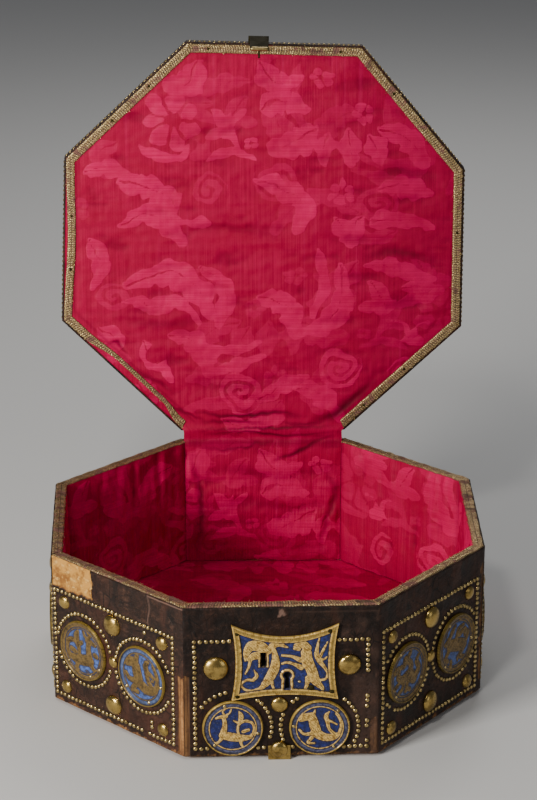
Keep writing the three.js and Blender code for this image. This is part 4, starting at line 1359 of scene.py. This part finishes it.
def rim_braid_piece():
    """The braid on the case's rim, but for the rear, where the silk passes over it."""
    bag = Bag()
    outer, inner = inset(rim_braid[0]), inset(rim_braid[1])
    level = wall_lift + rim_top - 1.6

    def on_rim(x, y, z):
        return np.stack([x, y, level + z], -1) * MM

    for i in range(8):
        if i != BACK:
            n = (i + 1) % 8
            worn = 0.42 if i in (0, 6, 7) else 0.3
            ends = (outer[i], outer[n]), (inner[i], inner[n])
            braid_band(bag, on_rim, *ends, 37 * i, steady, 200 + 9 * i, 0.16, worn)
    piece = bag.make("rim_braid_weave", BRAID, "case")
    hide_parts("braid_rim")


def leaning_in(s):
    return np.ones_like(s) * 0.95, 0.28 * np.sin(math.pi * s) ** 2


def narrowed(s):
    held = step(s, 0.15, 0.4) * step(1 - s, 0.04, 0.2)
    return 1 - 0.45 * held, 0.55 * held


# Share of each side's length where a brad holds the lid's braid
lid_brads = {0: (0.12, 0.88), 1: (0.35,), 2: (0.4,), 3: (0.45, 0.8), 6: (0.32, 0.65), 7: (0.36, 0.66)}
# How the lid's braid wavers on its uneven sides
lid_waver = {6: leaning_in, 5: narrowed}


def lid_braid_piece():
    """The braid round the lid's lining, with the brads that hold it."""
    bag = Bag()
    outer, inner = inset(lid_board_edge), inset(lid_board_edge + lid_braid_width)
    level = wall_lift + lid_lining_face

    def on_lining(x, y, z):
        return opened(np.stack([x, y, level - z], -1) * MM)

    for i in range(8):
        if i != BACK:
            n = (i + 1) % 8
            ends = (outer[n], outer[i]), (inner[n], inner[i])
            braid_band(bag, on_lining, *ends, 41 * i, lid_waver.get(i, steady), 300 + 9 * i, 0.06, 0.12)
    piece = bag.make("lid_braid_weave", BRAID, "lid")
    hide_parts("lid_braid")
    brads = []
    for i, shares in lid_brads.items():
        for share in shares:
            _, shift = lid_waver.get(i, steady)(np.array(share))
            middle = outer[i] + share * (outer[(i + 1) % 8] - outer[i])
            inwards = -outward(i) * lid_braid_width * (0.5 + shift)
            brads.append((*(middle + inwards), 1.2, 1.35))
    domes("lid_braid_brads", brads, on_lining, DARK_AND_SHADED_BRASS, "lid", 12, 3, 0.5, 240)


# Lid's outside

def along_sides(ring, per_side):
    """Points round a ring of corners, back to the first one."""
    points = []
    for start, end in zip(ring, np.roll(ring, -1, axis=0)):
        points += [start + share * (end - start) for share in np.arange(per_side) / per_side]
    return np.array([*points, points[0]])


def lid_leather_piece():
    """The leather on the lid's top and edge, with its domed nails and its tacks."""
    around, folded = along_sides(inset(lid_edge), 36), along_sides(inset(lid_board_edge), 36)
    top = np.linspace(0.02, 1, 50)[:, None, None] * around[None]
    x, y = top[..., 0], top[..., 1]
    top_height = 0.2 * ripple(x, y, 30, 401) + 0.08 * ripple(x, y, 8, 402)
    top_height[-1] -= 0.5
    edge_foot = lid_face + 1 - lid_top
    edge_levels = np.array([-2.5, -5, -7.5, edge_foot, edge_foot])[:, None]
    edge = np.stack([around] * 4 + [folded])
    flat = np.concatenate([top, edge])
    height = np.concatenate([top_height, edge_levels + 0.15 * ripple(edge[..., 0], edge[..., 1], 20, 403)])
    x, y = flat[..., 0], flat[..., 1]
    worn = step(ripple(x, y, 40, 404) + 0.6 * ripple(x, y, 9, 405) - 1.5, 0, 0.3)
    values = {"bare": 0.7 * worn, "pale": 0 * worn, "dark": 0 * worn, "ochre": 0 * worn}
    piece = make_grid("lid_cover", on_lid_top(x, y, height), LEATHER, "lid", flat, values, flip=True)
    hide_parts("lid_leather")
    nails = [(x, y, 0, 6) for x, y in inset(26)]
    for x, y in ((1, 0), (0, 1), (-1, 0), (0, -1)):
        nails.append((x * lid_nail_spread, y * lid_nail_spread, 0, 9))
    domes("lid_domed_nails", nails, on_lid_top, BRASS, "lid", *big_dome, 410)
    ring = inset(8)
    rows = [point for i in range(8) for point in row_points(ring[i], ring[(i + 1) % 8])[:-1]]
    for place in lid_places.values():
        rows += ring_points(place)
    tacks = []
    for x, y in rows:
        under_strap = y > 90 and abs(abs(x) - strap_aside - 3) < 15
        if not under_strap:
            tacks.append((x, y, 0.05, tack_radius))
    domes("lid_tacks", tacks, on_lid_top, TACK_BRASS, "lid", 8, 2, seed=411)


def lid_edge_tacks():
    """Small tacks round the lid's edge, with their heads outwards."""
    shape, faces = dome_shape(8, 2, 0.62)
    local_x, local_y, local_z = 1.5 * shape.T
    bag = Bag()
    level = (lid_face + lid_top) / 2 - 1
    rng = np.random.default_rng(431)
    for i in range(8):
        half = side_width(i, lid_edge) / 2
        for x in np.arange(-half + 2.5, half - 2, 4.4):
            on_strap = i == BACK and abs(abs(x) - strap_aside) < 13
            on_hasp = i == 0 and abs(x - slot_place[0]) < 11
            if on_strap or on_hasp:
                continue
            y = level + rng.normal(0, 0.2)
            bag.add(on_lid_side(i, x + local_x, y + local_y, local_z - lid_edge), faces)
    bag.make("lid_edge_tacks", TACK_BRASS, "lid")


lid_places = {"centre": (0, 0)}
for fore_name, fore in (("front", -1), ("back", 1)):
    for aside_name, aside in (("left", -1), ("right", 1)):
        lid_places[f"{fore_name}_{aside_name}"] = (aside * lid_spread, fore * lid_spread)


# Assembly

def case_medallions(i):
    """The two discs of a side, on the front in its own blue."""
    designs = [stag, crouching_beast, winged_beast, curling_bird, running_hare]
    to_world = partial(on_side, i)
    for k, middle in enumerate(medallions_of(i)):
        if i == 0:
            design, look, size = designs[k], PLATE_ENAMEL, front_medallion_radius
            angles = [(108, -14, 226), (45, 176, -57)][k]
        else:
            design, look, size = designs[(i * 2 + k + 1) % 5], WORN_ENAMEL, medallion_radius
            angles = (100 + 17 * i, 215 + 11 * i, 330 + 23 * k)
        wear = {0: 0, 1: 1.7, 7: 1.9 - 1.3 * k}.get(i, 1.4)
        name = f"medallion_{side_names[i]}_{k + 1}"
        mirror = (i + k) % 2 == 1 and i > 0
        cells = 96 if i in near_sides else 50
        seed = 500 + 2 * i + k
        medallion(name, design, to_world, middle, look, "case", cells, angles, mirror, seed, wear, size)


def case_pieces():
    for i in range(8):
        leather_cover(i)
        case_medallions(i)
    lock_plate()
    rim_braid_piece()
    side_wall_silk()
    floor_silk()


def lid_pieces():
    lid_leather_piece()
    lid_edge_tacks()
    lid_braid_piece()
    designs = [curling_bird, stag, crouching_beast, running_hare, winged_beast]
    angles = (45, 135, 225, 315)
    for k, (name, place) in enumerate(lid_places.items()):
        name = f"lid_medallion_{name}"
        medallion(name, designs[k], on_lid_top, place, WORN_ENAMEL, "lid", 50, angles, seed=530 + k)


def hasp_lip():
    """A bright rounded lip over the hasp's end."""
    half, radius = 8.2, 1.75
    level, out = slot_place[1] - 9.25, hasp_inner + 1.5
    turn, x = np.meshgrid(np.linspace(0, TAU, 25), np.linspace(-half, half, 12))
    round_end = radius * (1 - 0.4 * step(abs(x), half - 0.8, half))
    y, z = level + round_end * np.sin(turn), out + round_end * np.cos(turn)
    make_grid("hasp_lip", on_lid_side(0, slot_place[0] + x, y, z), TACK_BRASS, "hasp", flip=True)


def dress_solids():
    """Wood and brass for the solids that stay, with softened edges."""
    looks = {"wood": WOOD, "brass": BRASS}
    slots = {part["node"]: part["material_slot"] for part in frame["record"]["subparts"]}
    for name, node in frame["nodes"].items():
        # The hasp and its leaf take the near-black brass, a painted shade.
        look = DARK_AND_SHADED_BRASS if name in ("hasp", "hasp_leaf") else looks.get(slots[name])
        if look:
            node.data.materials.clear()
            node.data.materials.append(look)
            soften = node.modifiers.new("soft_edges", "BEVEL")
            soften.width = 0.0003
            soften.segments = 2
            soften.limit_method = "ANGLE"


def stage_and_light():
    bpy.ops.mesh.primitive_plane_add(size=12)
    ground = bpy.context.active_object
    ground.name = "floor"
    ground.data.materials.append(floor_look())
    world = bpy.data.worlds.new("soft_room")
    bpy.context.scene.world = world
    world.use_nodes = True
    sky = world.node_tree.nodes["Background"].inputs
    sky["Color"].default_value = (0.9, 0.93, 1.0, 1.0)
    sky["Strength"].default_value = 0.15
    lamps = [
        ("key", (-1.15, -1.12, 0.7), 0.4, 33, (1.0, 0.97, 0.93)),
        ("top", (-0.35, -1.0, 1.6), 0.2, 6.5, (1.0, 0.98, 0.95)),
        ("fill", (1.7, -1.6, 0.9), 1.1, 5, (0.95, 0.97, 1.0)),
        ("back", (0.3, 1.5, 1.6), 0.9, 12, (1.0, 1.0, 1.0)),
    ]
    for name, place, size, power, colour in lamps:
        light = bpy.data.lights.new(name, "AREA")
        light.size = size
        light.energy = power
        light.color = colour
        lamp = bpy.data.objects.new(name, light)
        bpy.context.scene.collection.objects.link(lamp)
        lamp.location = place
        aim = Vector((0, 0, 0.2)) - Vector(place)
        lamp.rotation_euler = aim.to_track_quat("-Z", "Y").to_euler()


def camera():
    made = bpy.data.cameras.new("photo_camera")
    made.lens = camera_lens
    made.sensor_width = 36
    made.clip_end = 20
    holder = bpy.data.objects.new("photo_camera", made)
    bpy.context.scene.collection.objects.link(holder)
    holder.location = [value * MM for value in camera_place]
    holder.rotation_euler = (math.radians(90 - camera_down), 0, -math.radians(camera_turn))
    bpy.context.scene.camera = holder


camera()
dress_solids()
case_pieces()
back_and_lid_silk()
lid_pieces()
hasp_lip()
stage_and_light()
